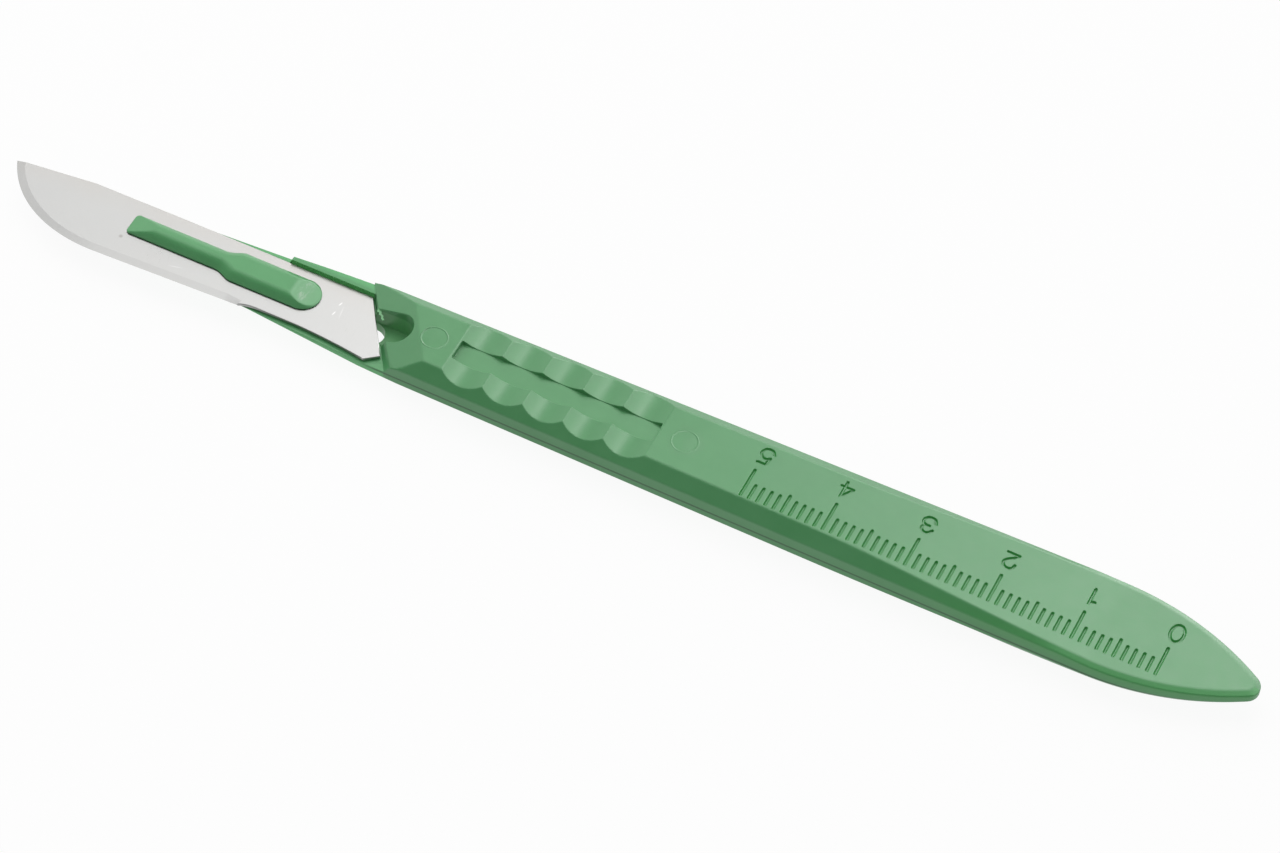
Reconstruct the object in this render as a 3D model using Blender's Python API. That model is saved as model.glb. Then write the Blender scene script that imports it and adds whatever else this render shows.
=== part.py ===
"""Disposable surgical scalpel: a curved-belly steel blade held on a moulded plastic handle.

The handle is one moulding in two mirrored halves that meet at a parting plane. Its lower half runs
forward as the nose under the blade, its upper half ends at a slanted shoulder behind the blade. A
bayonet boss stands on the nose, passes through the blade's slot and holds the blade down with a lip.

Lengths are in metres. Construction places are measured from the shoulder, where it crosses the
centre line in the parting plane: x towards the tail, y towards the blade's spine, z up out of the
ruled face. One empty carries both pieces, so that the origin is below the middle of the scalpel.
"""

import math

import bmesh
import bpy
from mathutils import Vector

# Handle body
BODY_LENGTH = 0.10795         # shoulder to tail end, on the centre line
FENCE_WIDTH = 0.00160         # body beside the blade's spine, at the shoulder
TAIL_WIDTH = 0.01280          # where the tail starts to close in
TAIL_LENGTH = 0.0181          # the closing part
TAIL_TIP_RADIUS = 0.0017
THICKNESS = 0.00506           # of the grip, over both faces
UPPER_WALL = 0.00138          # upright side wall above the parting plane
LOWER_WALL = 0.00120          # and below it
TAIL_LOWER_WALL = 0.00015     # which is what that one narrows to at the tail's end
LOWER_WALL_NARROWS = (0.0560, BODY_LENGTH + 0.0050)
BEVEL_RUN = 0.00168           # long bevels beside the flat faces, measured across
RIM_RUN = 0.00068             # what is left of them around the tail, where they are also lower
RIM_DROP = 0.00030
BEVEL_NARROWS = (0.0550, 0.0850)
WALL_DRAFT = 0.00006          # the side walls lean in by this much away from the parting plane
PARTING_STEP = 0.00006        # the lower half is this much narrower on each side
PARTING_LAP = 0.00005         # the upper half comes down past the parting plane by this much
TAIL_DROP = 0.00100           # both faces arch towards each other along the ruler by this much
TAIL_SLOPE = 0.022            # and go on straight around the tail

# Shoulder, ramp and nose
SHOULDER_SLANT = math.radians(32.6)    # of its foot, and of the blade's rear edge
BROW_SLANT = math.radians(36.2)        # of its upper edge, which so leans back on the near side
SHOULDER_HEIGHT = 0.00113
RAMP_LENGTH = 0.00505         # from the shoulder up to the grip's flat face
NOSE_LENGTH = 0.0343
NOSE_TAPER = 0.0590           # half width lost for each metre forward
NOSE_TIP_DEPTH = 0.00140      # nose below the parting plane at its front end
NOSE_RIM = 0.00025            # upright edge of the nose near its front end
KEEL_START = 0.0020           # where the underside starts to rise towards the front
RIM_RISE_START = 0.0050       # where the lower side wall starts to narrow
RIM_RISE_END = -0.0145
FENCE_LENGTH = 0.0133         # raised wall along the blade's spine, forward of the shoulder
FENCE_HEIGHT = 0.00110
FENCE_LEAN = 0.00006          # its outer side leans in by this much at the top
FENCE_TAPER = 0.024           # and by more towards its front end
FENCE_FRONT_LEAN = 0.50       # its front end leans back by this share of its height
FENCE_ROOT = 0.00025          # how far it runs back into the shoulder

# Thumb recess and the core hole in its floor
RECESS_WIDTH = 0.0039
RECESS_OFFSET = -0.00012      # across, towards the cutting edge
RECESS_REACH = 0.00425        # rear end of the recess behind the shoulder
RECESS_DEPTH = 0.00120        # below the parting plane
CORE_HOLE_DIAMETER = 0.0036
CORE_HOLE_CENTRE = -0.00105

# Grip: scallops across both faces, and a plain label pocket in the ruled one
GRIP_START = 0.0099
SCALLOP_PITCH = 0.00506
SCALLOP_COUNT = 5
SCALLOP_DEPTH = 0.00060
RIDGE_DROP = 0.00003          # the ridges stay this far below the flat faces
POCKET_WIDTH = 0.00280
POCKET_OFFSET = -0.00015
POCKET_DEPTH = 0.00068
POCKET_END_GAP = 0.00008      # pocket shorter than the grip at each end

# Ruler moulded into the face, five centimetres in millimetre steps
RULER_START = 0.04685
RULER_STEP = 0.0010
RULER_STEPS = 50
RULER_BASE = -0.00409         # blunt ends of the marks, across the handle
MARK_WIDTH = 0.00038
MARK_DEPTH = 0.00025
MARK_SHORT = 0.00245
MARK_HALF = 0.00293
MARK_LONG = 0.00440

# Ejector marks, shallow discs
EJECTOR_DIAMETER = 0.0031
EJECTOR_DEPTH = 0.00006
EJECTOR_CENTRES = (0.0070, 0.0384)

# Blade
BLADE_THICKNESS = 0.00038
BED_CLEARANCE = 0.00010       # under the blade, behind its spine and under the boss's lip
REAR_CLEARANCE = 0.00026      # blade to shoulder, along the handle
SPINE = 0.00362               # across, from the centre line
SPINE_START = -0.0270         # from here back the spine is level
SPINE_KINK = (-0.0386, 0.00352)
TIP_FLAT = (-0.04733, 0.00240)
TIP = (-0.04842, 0.00227)
REAR_STRAIGHT_END = -0.00380  # rear edge ends here, across the handle
REAR_CORNER = (0.00063, -0.00511)
RELIEF = -0.00428             # lower edge behind the cutting edge
RELIEF_REAR = -0.0085
RELIEF_FRONT = -0.0132
HEEL = (-0.01570, -0.00481)   # rear end of the cutting edge
BELLY_START = (-0.0338, -0.00554)
BELLY_PULL = 0.0063           # how long the belly keeps the direction of the straight edge
TIP_PULL = (0.00266, -0.00547)
GRIND_WIDTH = 0.00092

# Bayonet boss, from its front end to its round end
BOSS_FRONT = -0.03205
BOSS_REAR = -0.00757
BOSS_NARROW = 0.00300
BOSS_WIDE = 0.00454
BOSS_STEP_FRONT = -0.0203
BOSS_STEP_REAR = -0.0180
BOSS_CORNER = 0.00055
BOSS_HEIGHT = 0.00152         # above the parting plane
BOSS_BEVEL = 0.00089
BOSS_RIM = 0.00010            # upright edge of the lip
BOSS_LEAD_LENGTH = 0.0032     # both ends ramp down over this length
BOSS_LEAD_HEIGHT = 0.00068    # height left at the ends
LIP = 0.00030                 # the lip covers the slot's edge by this much
SLOT_CLEARANCE = 0.00012

# How finely curves are cut into straight steps
ARC_STEPS = 12
BODY_STEPS = 14
TAIL_STEPS = 14
CORNER_STEPS = 4
RAMP_STEPS = 8

HALF = THICKNESS / 2
SHOULDER_WIDTH = 2 * (SPINE + BED_CLEARANCE + FENCE_WIDTH)
ARCH_RADIUS = (BODY_LENGTH - TAIL_LENGTH - RULER_START) ** 2 / (2 * TAIL_DROP)
BLADE_TOP = BED_CLEARANCE + BLADE_THICKNESS
SLANT = math.tan(SHOULDER_SLANT)
CLEAR = 0.02                  # how far cutters reach past the part


def clear_scene():
    for item in list(bpy.data.objects):
        bpy.data.objects.remove(item, do_unlink=True)


def new_object(name, mesh_builder):
    """A mesh object from a bmesh, with its faces turned outwards."""
    bmesh.ops.remove_doubles(mesh_builder, verts=mesh_builder.verts, dist=1e-8)
    bmesh.ops.recalc_face_normals(mesh_builder, faces=mesh_builder.faces)
    mesh = bpy.data.meshes.new(name)
    mesh_builder.to_mesh(mesh)
    mesh_builder.free()
    item = bpy.data.objects.new(name, mesh)
    bpy.context.scene.collection.objects.link(item)
    return item


def combine(target, tool, operation):
    """Unites the target with a tool, or cuts it, and removes the tool."""
    modifier = target.modifiers.new("cut", "BOOLEAN")
    modifier.operation = operation
    modifier.solver = "EXACT"
    modifier.object = tool
    depsgraph = bpy.context.evaluated_depsgraph_get()
    mesh = bpy.data.meshes.new_from_object(target.evaluated_get(depsgraph))
    target.modifiers.clear()
    old = target.data
    target.data = mesh
    mesh.name = target.name
    bpy.data.meshes.remove(old)
    bpy.data.objects.remove(tool, do_unlink=True)


def add_prism(builder, outline, bottom, top, shear=0.0):
    """An upright prism on a plan outline; shear moves its points along x as y grows."""
    rings = []
    for height in (bottom, top):
        rings.append([builder.verts.new((x + shear * y, y, height)) for x, y in outline])
    add_walls(builder, rings[0], rings[1])
    builder.faces.new(list(reversed(rings[0])))
    builder.faces.new(rings[1])


def add_walls(builder, lower, upper):
    count = len(lower)
    for i in range(count):
        j = (i + 1) % count
        builder.faces.new((lower[i], lower[j], upper[j], upper[i]))


def prism(name, outline, bottom, top):
    builder = bmesh.new()
    add_prism(builder, outline, bottom, top)
    return new_object(name, builder)


def side_profile(name, profile, places, slants=None):
    """A solid that follows a profile in x and z across the handle; each edge can have a slant."""
    builder = bmesh.new()
    slants = slants or [0.0] * len(profile)
    rings = []
    for y in places:
        ring = [(x - slant * y, y, z) for (x, z), slant in zip(profile, slants)]
        rings.append([builder.verts.new(point) for point in ring])
    for near, far in zip(rings, rings[1:]):
        add_walls(builder, near, far)
    bmesh.ops.triangulate(builder, faces=builder.faces)
    builder.faces.new(list(reversed(rings[0])))
    builder.faces.new(rings[-1])
    return new_object(name, builder)


def arc(centre, radius, start, end, steps):
    """Points on an arc, from the start angle to the end angle in degrees."""
    points = []
    for i in range(steps + 1):
        angle = math.radians(start + (end - start) * i / steps)
        points.append((centre[0] + radius * math.cos(angle), centre[1] + radius * math.sin(angle)))
    return points


def bezier(controls, steps):
    """Points on a Bezier curve of any degree, its first control included and its last too."""
    points = []
    for i in range(steps + 1):
        share = i / steps
        level = [Vector(point) for point in controls]
        while len(level) > 1:
            level = [a.lerp(b, share) for a, b in zip(level, level[1:])]
        points.append((level[0].x, level[0].y))
    return points


def body_half_width(x):
    """Half width of the handle between the shoulder and the tail's start, and of the nose."""
    if x < 0:
        return SHOULDER_WIDTH / 2 + NOSE_TAPER * x
    share = x / (BODY_LENGTH - TAIL_LENGTH)
    return (SHOULDER_WIDTH + (TAIL_WIDTH - SHOULDER_WIDTH) * share) / 2


def tail_outline():
    """Half outline of the tail: a long side arc that meets a small arc at the tip."""
    half = TAIL_WIDTH / 2
    reach = TAIL_LENGTH - TAIL_TIP_RADIUS
    side = (reach ** 2 + half ** 2 - TAIL_TIP_RADIUS ** 2) / (2 * (half - TAIL_TIP_RADIUS))
    start = BODY_LENGTH - TAIL_LENGTH
    turn = math.degrees(math.atan2(side - half, reach))
    points = arc((start, half - side), side, 90, turn, TAIL_STEPS)
    points += arc((BODY_LENGTH - TAIL_TIP_RADIUS, 0), TAIL_TIP_RADIUS, turn, 0, CORNER_STEPS)[1:]
    points[-1] = (BODY_LENGTH, 0.0)
    return points


def nose_outline():
    """Half outline of the nose, from its round front end back to the shoulder."""
    radius = (SHOULDER_WIDTH / 2 - NOSE_TAPER * NOSE_LENGTH) / (1 - NOSE_TAPER)
    points = arc((radius - NOSE_LENGTH, 0), radius, 180, 90, ARC_STEPS)
    points[0] = (-NOSE_LENGTH, 0.0)
    steps = BODY_STEPS // 2
    for i in range(1, steps + 1):
        x = (radius - NOSE_LENGTH) * (1 - i / steps)
        points.append((x, body_half_width(x)))
    return points


def straight_outline(start):
    """Half outline of the body, from a place near the shoulder to the tail's start."""
    stations = [start, KEEL_START, RIM_RISE_START]
    end = BODY_LENGTH - TAIL_LENGTH
    for i in range(BODY_STEPS + 1):
        stations.append(RULER_START + (end - RULER_START) * i / BODY_STEPS)
    stations = sorted(x for x in stations if start <= x < end)
    return [(x, body_half_width(x)) for x in stations]


def inset_outline(outline, inset):
    """The half outline moved inwards, by a fixed amount or by an amount for each point."""
    moved = []
    for i, (x, y) in enumerate(outline):
        before = outline[max(i - 1, 0)]
        after = outline[min(i + 1, len(outline) - 1)]
        direction = Vector((after[0] - before[0], after[1] - before[1])).normalized()
        if y == 0.0:
            direction = Vector((0.0, 1.0)) if i == 0 else Vector((0.0, -1.0))
        step = inset[i] if isinstance(inset, list) else inset
        moved.append((x + direction.y * step, 0.0 if y == 0.0 else y - direction.x * step))
    return moved


def face_height(x):
    """Height of the flat face over the parting plane: level, arching down, then sloping to the tip."""
    tail = BODY_LENGTH - TAIL_LENGTH
    arched = max(0.0, min(x, tail) - RULER_START)
    return HALF - arched ** 2 / (2 * ARCH_RADIUS) - TAIL_SLOPE * max(0.0, x - tail)


def eased(x, stretch, before, after):
    """A size that changes smoothly from one value to another along a stretch of the handle."""
    start, end = stretch
    share = min(1.0, max(0.0, (x - start) / (end - start)))
    return before + (after - before) * share * share * (3 - 2 * share)


def bevel_run(x):
    """Width of the bevel, which narrows towards the tail."""
    return eased(x, BEVEL_NARROWS, BEVEL_RUN, RIM_RUN)


def wall_edge(x, wall):
    """Height of the side wall's edge, which follows the face down around the tail."""
    return min(wall, face_height(x) - RIM_DROP)


def add_half_shell(builder, rings):
    """Closes a solid from half outlines with heights: the first and last ring are capped."""
    near = [[builder.verts.new((x, -y, z)) for x, y, z in ring] for ring in rings]
    far = []
    for i, ring in enumerate(rings):
        far.append([near[i][k] if p[1] == 0.0 else builder.verts.new(p) for k, p in enumerate(ring)])
    count = len(rings[0])
    for side in (near, far):
        for lower, upper in zip(side, side[1:]):
            for k in range(count - 1):
                add_face(builder, (lower[k], lower[k + 1], upper[k + 1], upper[k]))
    for i in (0, len(rings) - 1):
        for k in range(count - 1):
            add_face(builder, (near[i][k], near[i][k + 1], far[i][k + 1], far[i][k]))
    for start in (0, count - 1):
        if rings[0][start][1] != 0.0:
            loop = [ring[start] for ring in near] + [ring[start] for ring in reversed(far)]
            add_face(builder, loop)


def add_face(builder, corners):
    """A face without the corners that fall together."""
    kept = []
    for corner in corners:
        if corner not in kept:
            kept.append(corner)
    if len(kept) > 2:
        builder.faces.new(kept)


def with_height(outline, heights):
    return [(x, y, z) for (x, y), z in zip(outline, heights)]


def upper_half():
    """Upper half of the handle, cut off at the slanted shoulder and ramped behind it."""
    start = -SHOULDER_WIDTH
    outline = straight_outline(start) + tail_outline()
    face = inset_outline(outline, [bevel_run(x) + WALL_DRAFT for x, y in outline])
    wall = inset_outline(outline, WALL_DRAFT)
    builder = bmesh.new()
    add_half_shell(builder, [
        with_height(outline, [-PARTING_LAP] * len(outline)),
        with_height(wall, [wall_edge(x, UPPER_WALL) for x, y in outline]),
        with_height(face, [face_height(x) for x, y in outline]),
    ])
    half = new_object("upper_half", builder)
    brow = (math.tan(BROW_SLANT) - SLANT) * (SPINE + BED_CLEARANCE)
    front = [(-CLEAR, -2 * PARTING_LAP), (0.0, -2 * PARTING_LAP), (brow, SHOULDER_HEIGHT),
             (RAMP_LENGTH, HALF), (2 * RAMP_LENGTH - brow, 2 * HALF - SHOULDER_HEIGHT), (-CLEAR, CLEAR)]
    slants = [SLANT, SLANT, math.tan(BROW_SLANT), SLANT, SLANT, SLANT]
    places = [SHOULDER_WIDTH * (i / RAMP_STEPS - 0.5) * 1.2 for i in range(RAMP_STEPS + 1)]
    combine(half, side_profile("front_cut", front, places, slants), "DIFFERENCE")
    return half


def nose_depth(x):
    """Depth of the underside below the parting plane, from the front end to the body."""
    share = min(1.0, max(0.0, (x + NOSE_LENGTH) / (KEEL_START + NOSE_LENGTH)))
    return NOSE_TIP_DEPTH + (HALF - NOSE_TIP_DEPTH) * share


def lower_edge(x):
    """Height of the lower side wall under the parting plane."""
    share = min(1.0, max(0.0, (x - RIM_RISE_END) / (RIM_RISE_START - RIM_RISE_END)))
    body = eased(x, LOWER_WALL_NARROWS, LOWER_WALL, TAIL_LOWER_WALL)
    return wall_edge(x, NOSE_RIM + (body - NOSE_RIM) * share)


def lower_half():
    """Lower half of the handle with the nose that runs forward under the blade."""
    outline = nose_outline()[:-1] + straight_outline(0.0) + tail_outline()
    top = inset_outline(outline, PARTING_STEP)
    wall = inset_outline(outline, PARTING_STEP + WALL_DRAFT)
    face = inset_outline(outline, [bevel_run(x) + PARTING_STEP + WALL_DRAFT for x, y in outline])
    depths = [min(nose_depth(x), face_height(x)) for x, y in outline]
    builder = bmesh.new()
    add_half_shell(builder, [
        with_height(face, [-depth for depth in depths]),
        with_height(wall, [-lower_edge(x) for x, y in outline]),
        with_height(top, [0.0] * len(outline)),
    ])
    return new_object("handle", builder)


def fence():
    """Raised wall beside the blade's spine, part of the moulding."""
    inner = SPINE + BED_CLEARANCE
    builder = bmesh.new()
    ends = []
    for x in (-FENCE_LENGTH, FENCE_ROOT):
        ring = []
        lean = FENCE_LEAN - FENCE_TAPER * min(x, 0.0)
        for inset, z in ((None, -NOSE_RIM), (None, FENCE_HEIGHT), (lean, FENCE_HEIGHT),
                         (PARTING_STEP, 0.0), (2 * PARTING_STEP, -NOSE_RIM)):
            place = x - SLANT * inner if x > 0 else x + FENCE_FRONT_LEAN * z
            y = inner if inset is None else body_half_width(place) - inset
            slanted = x - SLANT * y if x > 0 else place
            ring.append(builder.verts.new((slanted, y, z)))
        ends.append(ring)
    add_walls(builder, ends[0], ends[1])
    builder.faces.new(list(reversed(ends[0])))
    builder.faces.new(ends[1])
    return new_object("fence", builder)


def boss_outline(inset):
    """Plan outline of the bayonet boss, or of the slot that it fills, moved in by an inset."""
    narrow = BOSS_NARROW / 2 - inset
    wide = BOSS_WIDE / 2 - inset
    corner = max(BOSS_CORNER - inset, BOSS_CORNER / 2)
    front = BOSS_FRONT + inset
    shift = inset * 0.4
    half = arc((front + corner, narrow - corner), corner, 180, 90, CORNER_STEPS)
    step = (BOSS_STEP_FRONT + shift, BOSS_STEP_REAR + shift)
    for i in range(CORNER_STEPS + 2):
        x = step[0] + (step[1] - step[0]) * i / (CORNER_STEPS + 1)
        half.append((x, eased(x, step, narrow, wide)))
    half += arc((BOSS_REAR - BOSS_WIDE / 2, 0), wide, 90, 0, ARC_STEPS)
    mirrored = [(x, -y) for x, y in reversed(half[:-1])]
    return half + mirrored


def boss():
    """Bayonet boss: a stem through the blade's slot under a bevelled cap with ramped ends."""
    underside = BLADE_TOP + BED_CLEARANCE
    builder = bmesh.new()
    levels = ((0.0, underside), (0.0, underside + BOSS_RIM), (BOSS_BEVEL, BOSS_HEIGHT))
    rings = []
    for inset, z in levels:
        rings.append([builder.verts.new((x, y, z)) for x, y in boss_outline(inset)])
    for lower, upper in zip(rings, rings[1:]):
        add_walls(builder, lower, upper)
    builder.faces.new(list(reversed(rings[0])))
    builder.faces.new(rings[-1])
    cap = new_object("boss", builder)
    rise = (BOSS_HEIGHT - BOSS_LEAD_HEIGHT) / BOSS_LEAD_LENGTH
    for end, inward in ((BOSS_FRONT, 1), (BOSS_REAR, -1)):
        profile = [(end - inward * BOSS_LEAD_LENGTH, BOSS_LEAD_HEIGHT - rise * BOSS_LEAD_LENGTH),
                   (end + inward * 2 * BOSS_LEAD_LENGTH, BOSS_LEAD_HEIGHT + 2 * rise * BOSS_LEAD_LENGTH),
                   (end - inward * BOSS_LEAD_LENGTH, CLEAR)]
        combine(cap, side_profile("lead", profile, (-CLEAR, CLEAR)), "DIFFERENCE")
    stem = prism("stem", boss_outline(LIP + SLOT_CLEARANCE), -NOSE_RIM, underside + BOSS_RIM / 2)
    combine(cap, stem, "UNION")
    return cap


def thumb_recess():
    """Recess behind the blade's heel, open towards the blade."""
    half = RECESS_WIDTH / 2
    outline = arc((RECESS_REACH - half, RECESS_OFFSET), half, -90, 90, ARC_STEPS)
    outline += arc((CORE_HOLE_CENTRE, RECESS_OFFSET), half, 90, 270, ARC_STEPS)
    return prism("recess", outline, -RECESS_DEPTH, CLEAR)


def core_hole():
    outline = arc((CORE_HOLE_CENTRE, 0), CORE_HOLE_DIAMETER / 2, 0, 360, 2 * ARC_STEPS)[:-1]
    return prism("core_hole", outline, -CLEAR, CLEAR / 2)


def scallops(side):
    """Cutter for the grip scallops of one face; side is 1 for the ruled face and -1 for the back."""
    chord = SCALLOP_PITCH / 2
    sag = SCALLOP_DEPTH - RIDGE_DROP
    radius = (chord ** 2 + sag ** 2) / (2 * sag)
    spread = math.degrees(math.asin(chord / radius))
    bottoms = []
    for i in range(SCALLOP_COUNT):
        centre = (GRIP_START + (i + 0.5) * SCALLOP_PITCH, HALF - SCALLOP_DEPTH + radius)
        bottoms += arc(centre, radius, 270 - spread, 270 + spread, ARC_STEPS)[min(i, 1):]
    first, last = bottoms[0], bottoms[-1]
    lift = math.tan(math.radians(spread)) * SCALLOP_PITCH
    profile = [(first[0] - SCALLOP_PITCH, first[1] + lift)] + bottoms
    profile += [(last[0] + SCALLOP_PITCH, last[1] + lift)]
    profile = [(x, side * z) for x, z in profile]
    return side_profile("scallops", profile, (-CLEAR, CLEAR))


def label_pocket():
    start = GRIP_START + POCKET_END_GAP
    end = GRIP_START + SCALLOP_COUNT * SCALLOP_PITCH - POCKET_END_GAP
    near = POCKET_OFFSET - POCKET_WIDTH / 2
    far = POCKET_OFFSET + POCKET_WIDTH / 2
    outline = [(start, near), (end, near), (end, far), (start, far)]
    return prism("label_pocket", outline, HALF - POCKET_DEPTH, CLEAR)


def ruler_marks():
    """One cutter with every mark of the ruler, each a groove with round ends."""
    builder = bmesh.new()
    radius = MARK_WIDTH / 2
    for i in range(RULER_STEPS + 1):
        length = MARK_LONG if i % 10 == 0 else MARK_HALF if i % 5 == 0 else MARK_SHORT
        x = RULER_START + i * RULER_STEP
        outline = arc((x, RULER_BASE + radius), radius, 180, 360, CORNER_STEPS)
        outline += arc((x, RULER_BASE + length - radius), radius, 0, 180, CORNER_STEPS)
        add_prism(builder, outline, face_height(x) - MARK_DEPTH, HALF + MARK_DEPTH)
    return new_object("ruler_marks", builder)


def ejector_marks():
    builder = bmesh.new()
    for x in EJECTOR_CENTRES:
        outline = arc((x, 0), EJECTOR_DIAMETER / 2, 0, 360, 2 * ARC_STEPS)[:-1]
        add_prism(builder, outline, face_height(x) - EJECTOR_DEPTH, HALF + EJECTOR_DEPTH)
    return new_object("ejector_marks", builder)


def handle():
    item = lower_half()
    for part in (upper_half(), fence(), boss()):
        combine(item, part, "UNION")
    cuts = (thumb_recess(), core_hole(), scallops(1), scallops(-1), label_pocket(), ruler_marks(),
            ejector_marks())
    for cut in cuts:
        combine(item, cut, "DIFFERENCE")
    return item


def cutting_edge():
    """Cutting edge from the heel forward, round the belly and up to the tip."""
    start, tip = Vector(BELLY_START), Vector(TIP)
    along = (start - Vector(HEEL)).normalized()
    controls = [start, start + along * BELLY_PULL, tip + Vector(TIP_PULL), tip]
    return [HEEL] + bezier(controls, 2 * ARC_STEPS)


def blade_back():
    """The blade's full-thickness outline, from the tip along the spine and rear to the heel."""
    rear_x = -REAR_CLEARANCE - SLANT * SPINE
    end_x = -REAR_CLEARANCE - SLANT * REAR_STRAIGHT_END
    outline = [TIP_FLAT, SPINE_KINK, (SPINE_START, SPINE), (rear_x, SPINE), (end_x, REAR_STRAIGHT_END)]
    bend = ((REAR_CORNER[0] + RELIEF_REAR) / 2, RELIEF - (RELIEF - REAR_CORNER[1]) / 6)
    outline += bezier([REAR_CORNER, bend, (RELIEF_REAR, RELIEF)], CORNER_STEPS)
    outline += bezier([(RELIEF_FRONT, RELIEF), (HEEL[0] + 0.0008, RELIEF), HEEL], CORNER_STEPS)[:-1]
    return outline


def grind_line(edge):
    """Inner line of the ground band: the cutting edge moved in by the band's width."""
    inner = []
    for i in range(len(edge) - 1):
        before = Vector(edge[max(i - 1, 0)])
        direction = (Vector(edge[i + 1]) - before).normalized()
        inner.append((edge[i][0] + direction.y * GRIND_WIDTH, edge[i][1] - direction.x * GRIND_WIDTH))
    return inner + [TIP_FLAT]


def blade():
    """Flat steel blade, ground from both faces to a sharp edge, with the slot for the boss."""
    edge = cutting_edge()
    inner = grind_line(edge)
    back = blade_back()
    builder = bmesh.new()
    middle = BED_CLEARANCE + BLADE_THICKNESS / 2
    edge_points = [builder.verts.new((x, y, middle)) for x, y in edge]
    levels = []
    for z in (BED_CLEARANCE, BLADE_TOP):
        back_points = [builder.verts.new((x, y, z)) for x, y in back]
        inner_points = [builder.verts.new((x, y, z)) for x, y in inner[:-1]] + [back_points[0]]
        levels.append((back_points, inner_points))
        builder.faces.new(back_points + inner_points[:-1])
        builder.faces.new((back_points[-1], edge_points[0], inner_points[0]))
        for i in range(len(edge) - 1):
            add_face(builder, (inner_points[i], edge_points[i], edge_points[i + 1], inner_points[i + 1]))
    lower, upper = levels[0][0], levels[1][0]
    for i in range(len(back) - 1):
        builder.faces.new((lower[i], lower[i + 1], upper[i + 1], upper[i]))
    builder.faces.new((lower[-1], edge_points[0], upper[-1]))
    builder.faces.new((lower[0], upper[0], edge_points[-1]))
    item = new_object("blade", builder)
    combine(item, prism("slot", boss_outline(LIP), -CLEAR, CLEAR), "DIFFERENCE")
    return item


def shade_round(item):
    """Smooth shading, with the real edges kept sharp."""
    item.data.shade_smooth()
    item.data.set_sharp_from_angle(angle=math.radians(25))


def give_material(item, name, colour, roughness, metallic):
    material = bpy.data.materials.new(name)
    material.use_nodes = True
    shader = material.node_tree.nodes["Principled BSDF"]
    shader.inputs["Base Color"].default_value = (*colour, 1.0)
    shader.inputs["Roughness"].default_value = roughness
    shader.inputs["Metallic"].default_value = metallic
    item.data.materials.clear()
    item.data.materials.append(material)


def main():
    clear_scene()
    bpy.context.scene.unit_settings.system = "METRIC"
    origin = bpy.data.objects.new("scalpel", None)
    bpy.context.scene.collection.objects.link(origin)
    origin.location = (-(BODY_LENGTH + TIP[0]) / 2, 0.0, HALF)
    pieces = {
        "handle": (handle(), (0.17, 0.40, 0.21), 0.42, 0.0),
        "blade": (blade(), (0.66, 0.66, 0.64), 0.30, 1.0),
    }
    for name, (item, colour, roughness, metallic) in pieces.items():
        give_material(item, name, colour, roughness, metallic)
        shade_round(item)
        item.parent = origin


main()
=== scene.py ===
"""Disposable scalpel: a ground steel blade on a moulded green handle with a grip, ruler and numerals.

The frame's handle and blade are replaced by finer shells of the same shapes. Places are in
millimetres, along the handle from its shoulder and up from its parting plane, and are moved into
the frame at the end.
"""
import math

import bmesh
import bpy
import numpy as np
from mathutils import Matrix, Vector
from mathutils.geometry import delaunay_2d_cdt


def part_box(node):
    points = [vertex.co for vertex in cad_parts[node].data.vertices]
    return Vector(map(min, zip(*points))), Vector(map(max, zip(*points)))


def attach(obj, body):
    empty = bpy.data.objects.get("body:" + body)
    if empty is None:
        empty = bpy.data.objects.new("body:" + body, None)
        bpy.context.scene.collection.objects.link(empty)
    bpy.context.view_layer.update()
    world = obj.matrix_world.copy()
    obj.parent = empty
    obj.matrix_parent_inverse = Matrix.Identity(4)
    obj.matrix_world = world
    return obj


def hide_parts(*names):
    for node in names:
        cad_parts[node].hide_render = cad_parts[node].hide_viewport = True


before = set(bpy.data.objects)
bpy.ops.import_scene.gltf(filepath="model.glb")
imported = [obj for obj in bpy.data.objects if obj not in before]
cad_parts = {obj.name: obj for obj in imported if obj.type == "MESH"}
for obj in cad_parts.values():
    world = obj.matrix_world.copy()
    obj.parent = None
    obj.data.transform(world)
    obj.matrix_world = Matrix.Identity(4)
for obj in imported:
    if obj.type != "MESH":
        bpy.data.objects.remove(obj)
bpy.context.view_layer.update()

bl_info = {
    "name": "Disposable Scalpel",
    "version": (1, 0, 0),
    "blender": (4, 5, 0),
    "location": "View3D > Sidebar > Scalpel",
    "description": "Builds a disposable scalpel with its handle, blade and studio",
    "category": "Add Mesh",
}

# Plan of the handle
BODY_LENGTH = 107.95
SHOULDER_HALF = 5.32
TAIL_HALF = 6.40
TAIL_START = 89.85
TAIL_TIP = 1.70
TAIL_TIP_CENTRE = BODY_LENGTH - TAIL_TIP
TAIL_REACH = TAIL_TIP_CENTRE - TAIL_START
TAIL_SIDE = (TAIL_REACH ** 2 + TAIL_HALF ** 2 - TAIL_TIP ** 2) / (2 * (TAIL_HALF - TAIL_TIP))
NOSE_LENGTH = 34.3
NOSE_TAPER = 0.059
NOSE_RADIUS = (SHOULDER_HALF - NOSE_TAPER * NOSE_LENGTH) / (1 - NOSE_TAPER)
NOSE_CENTRE = NOSE_RADIUS - NOSE_LENGTH

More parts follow.
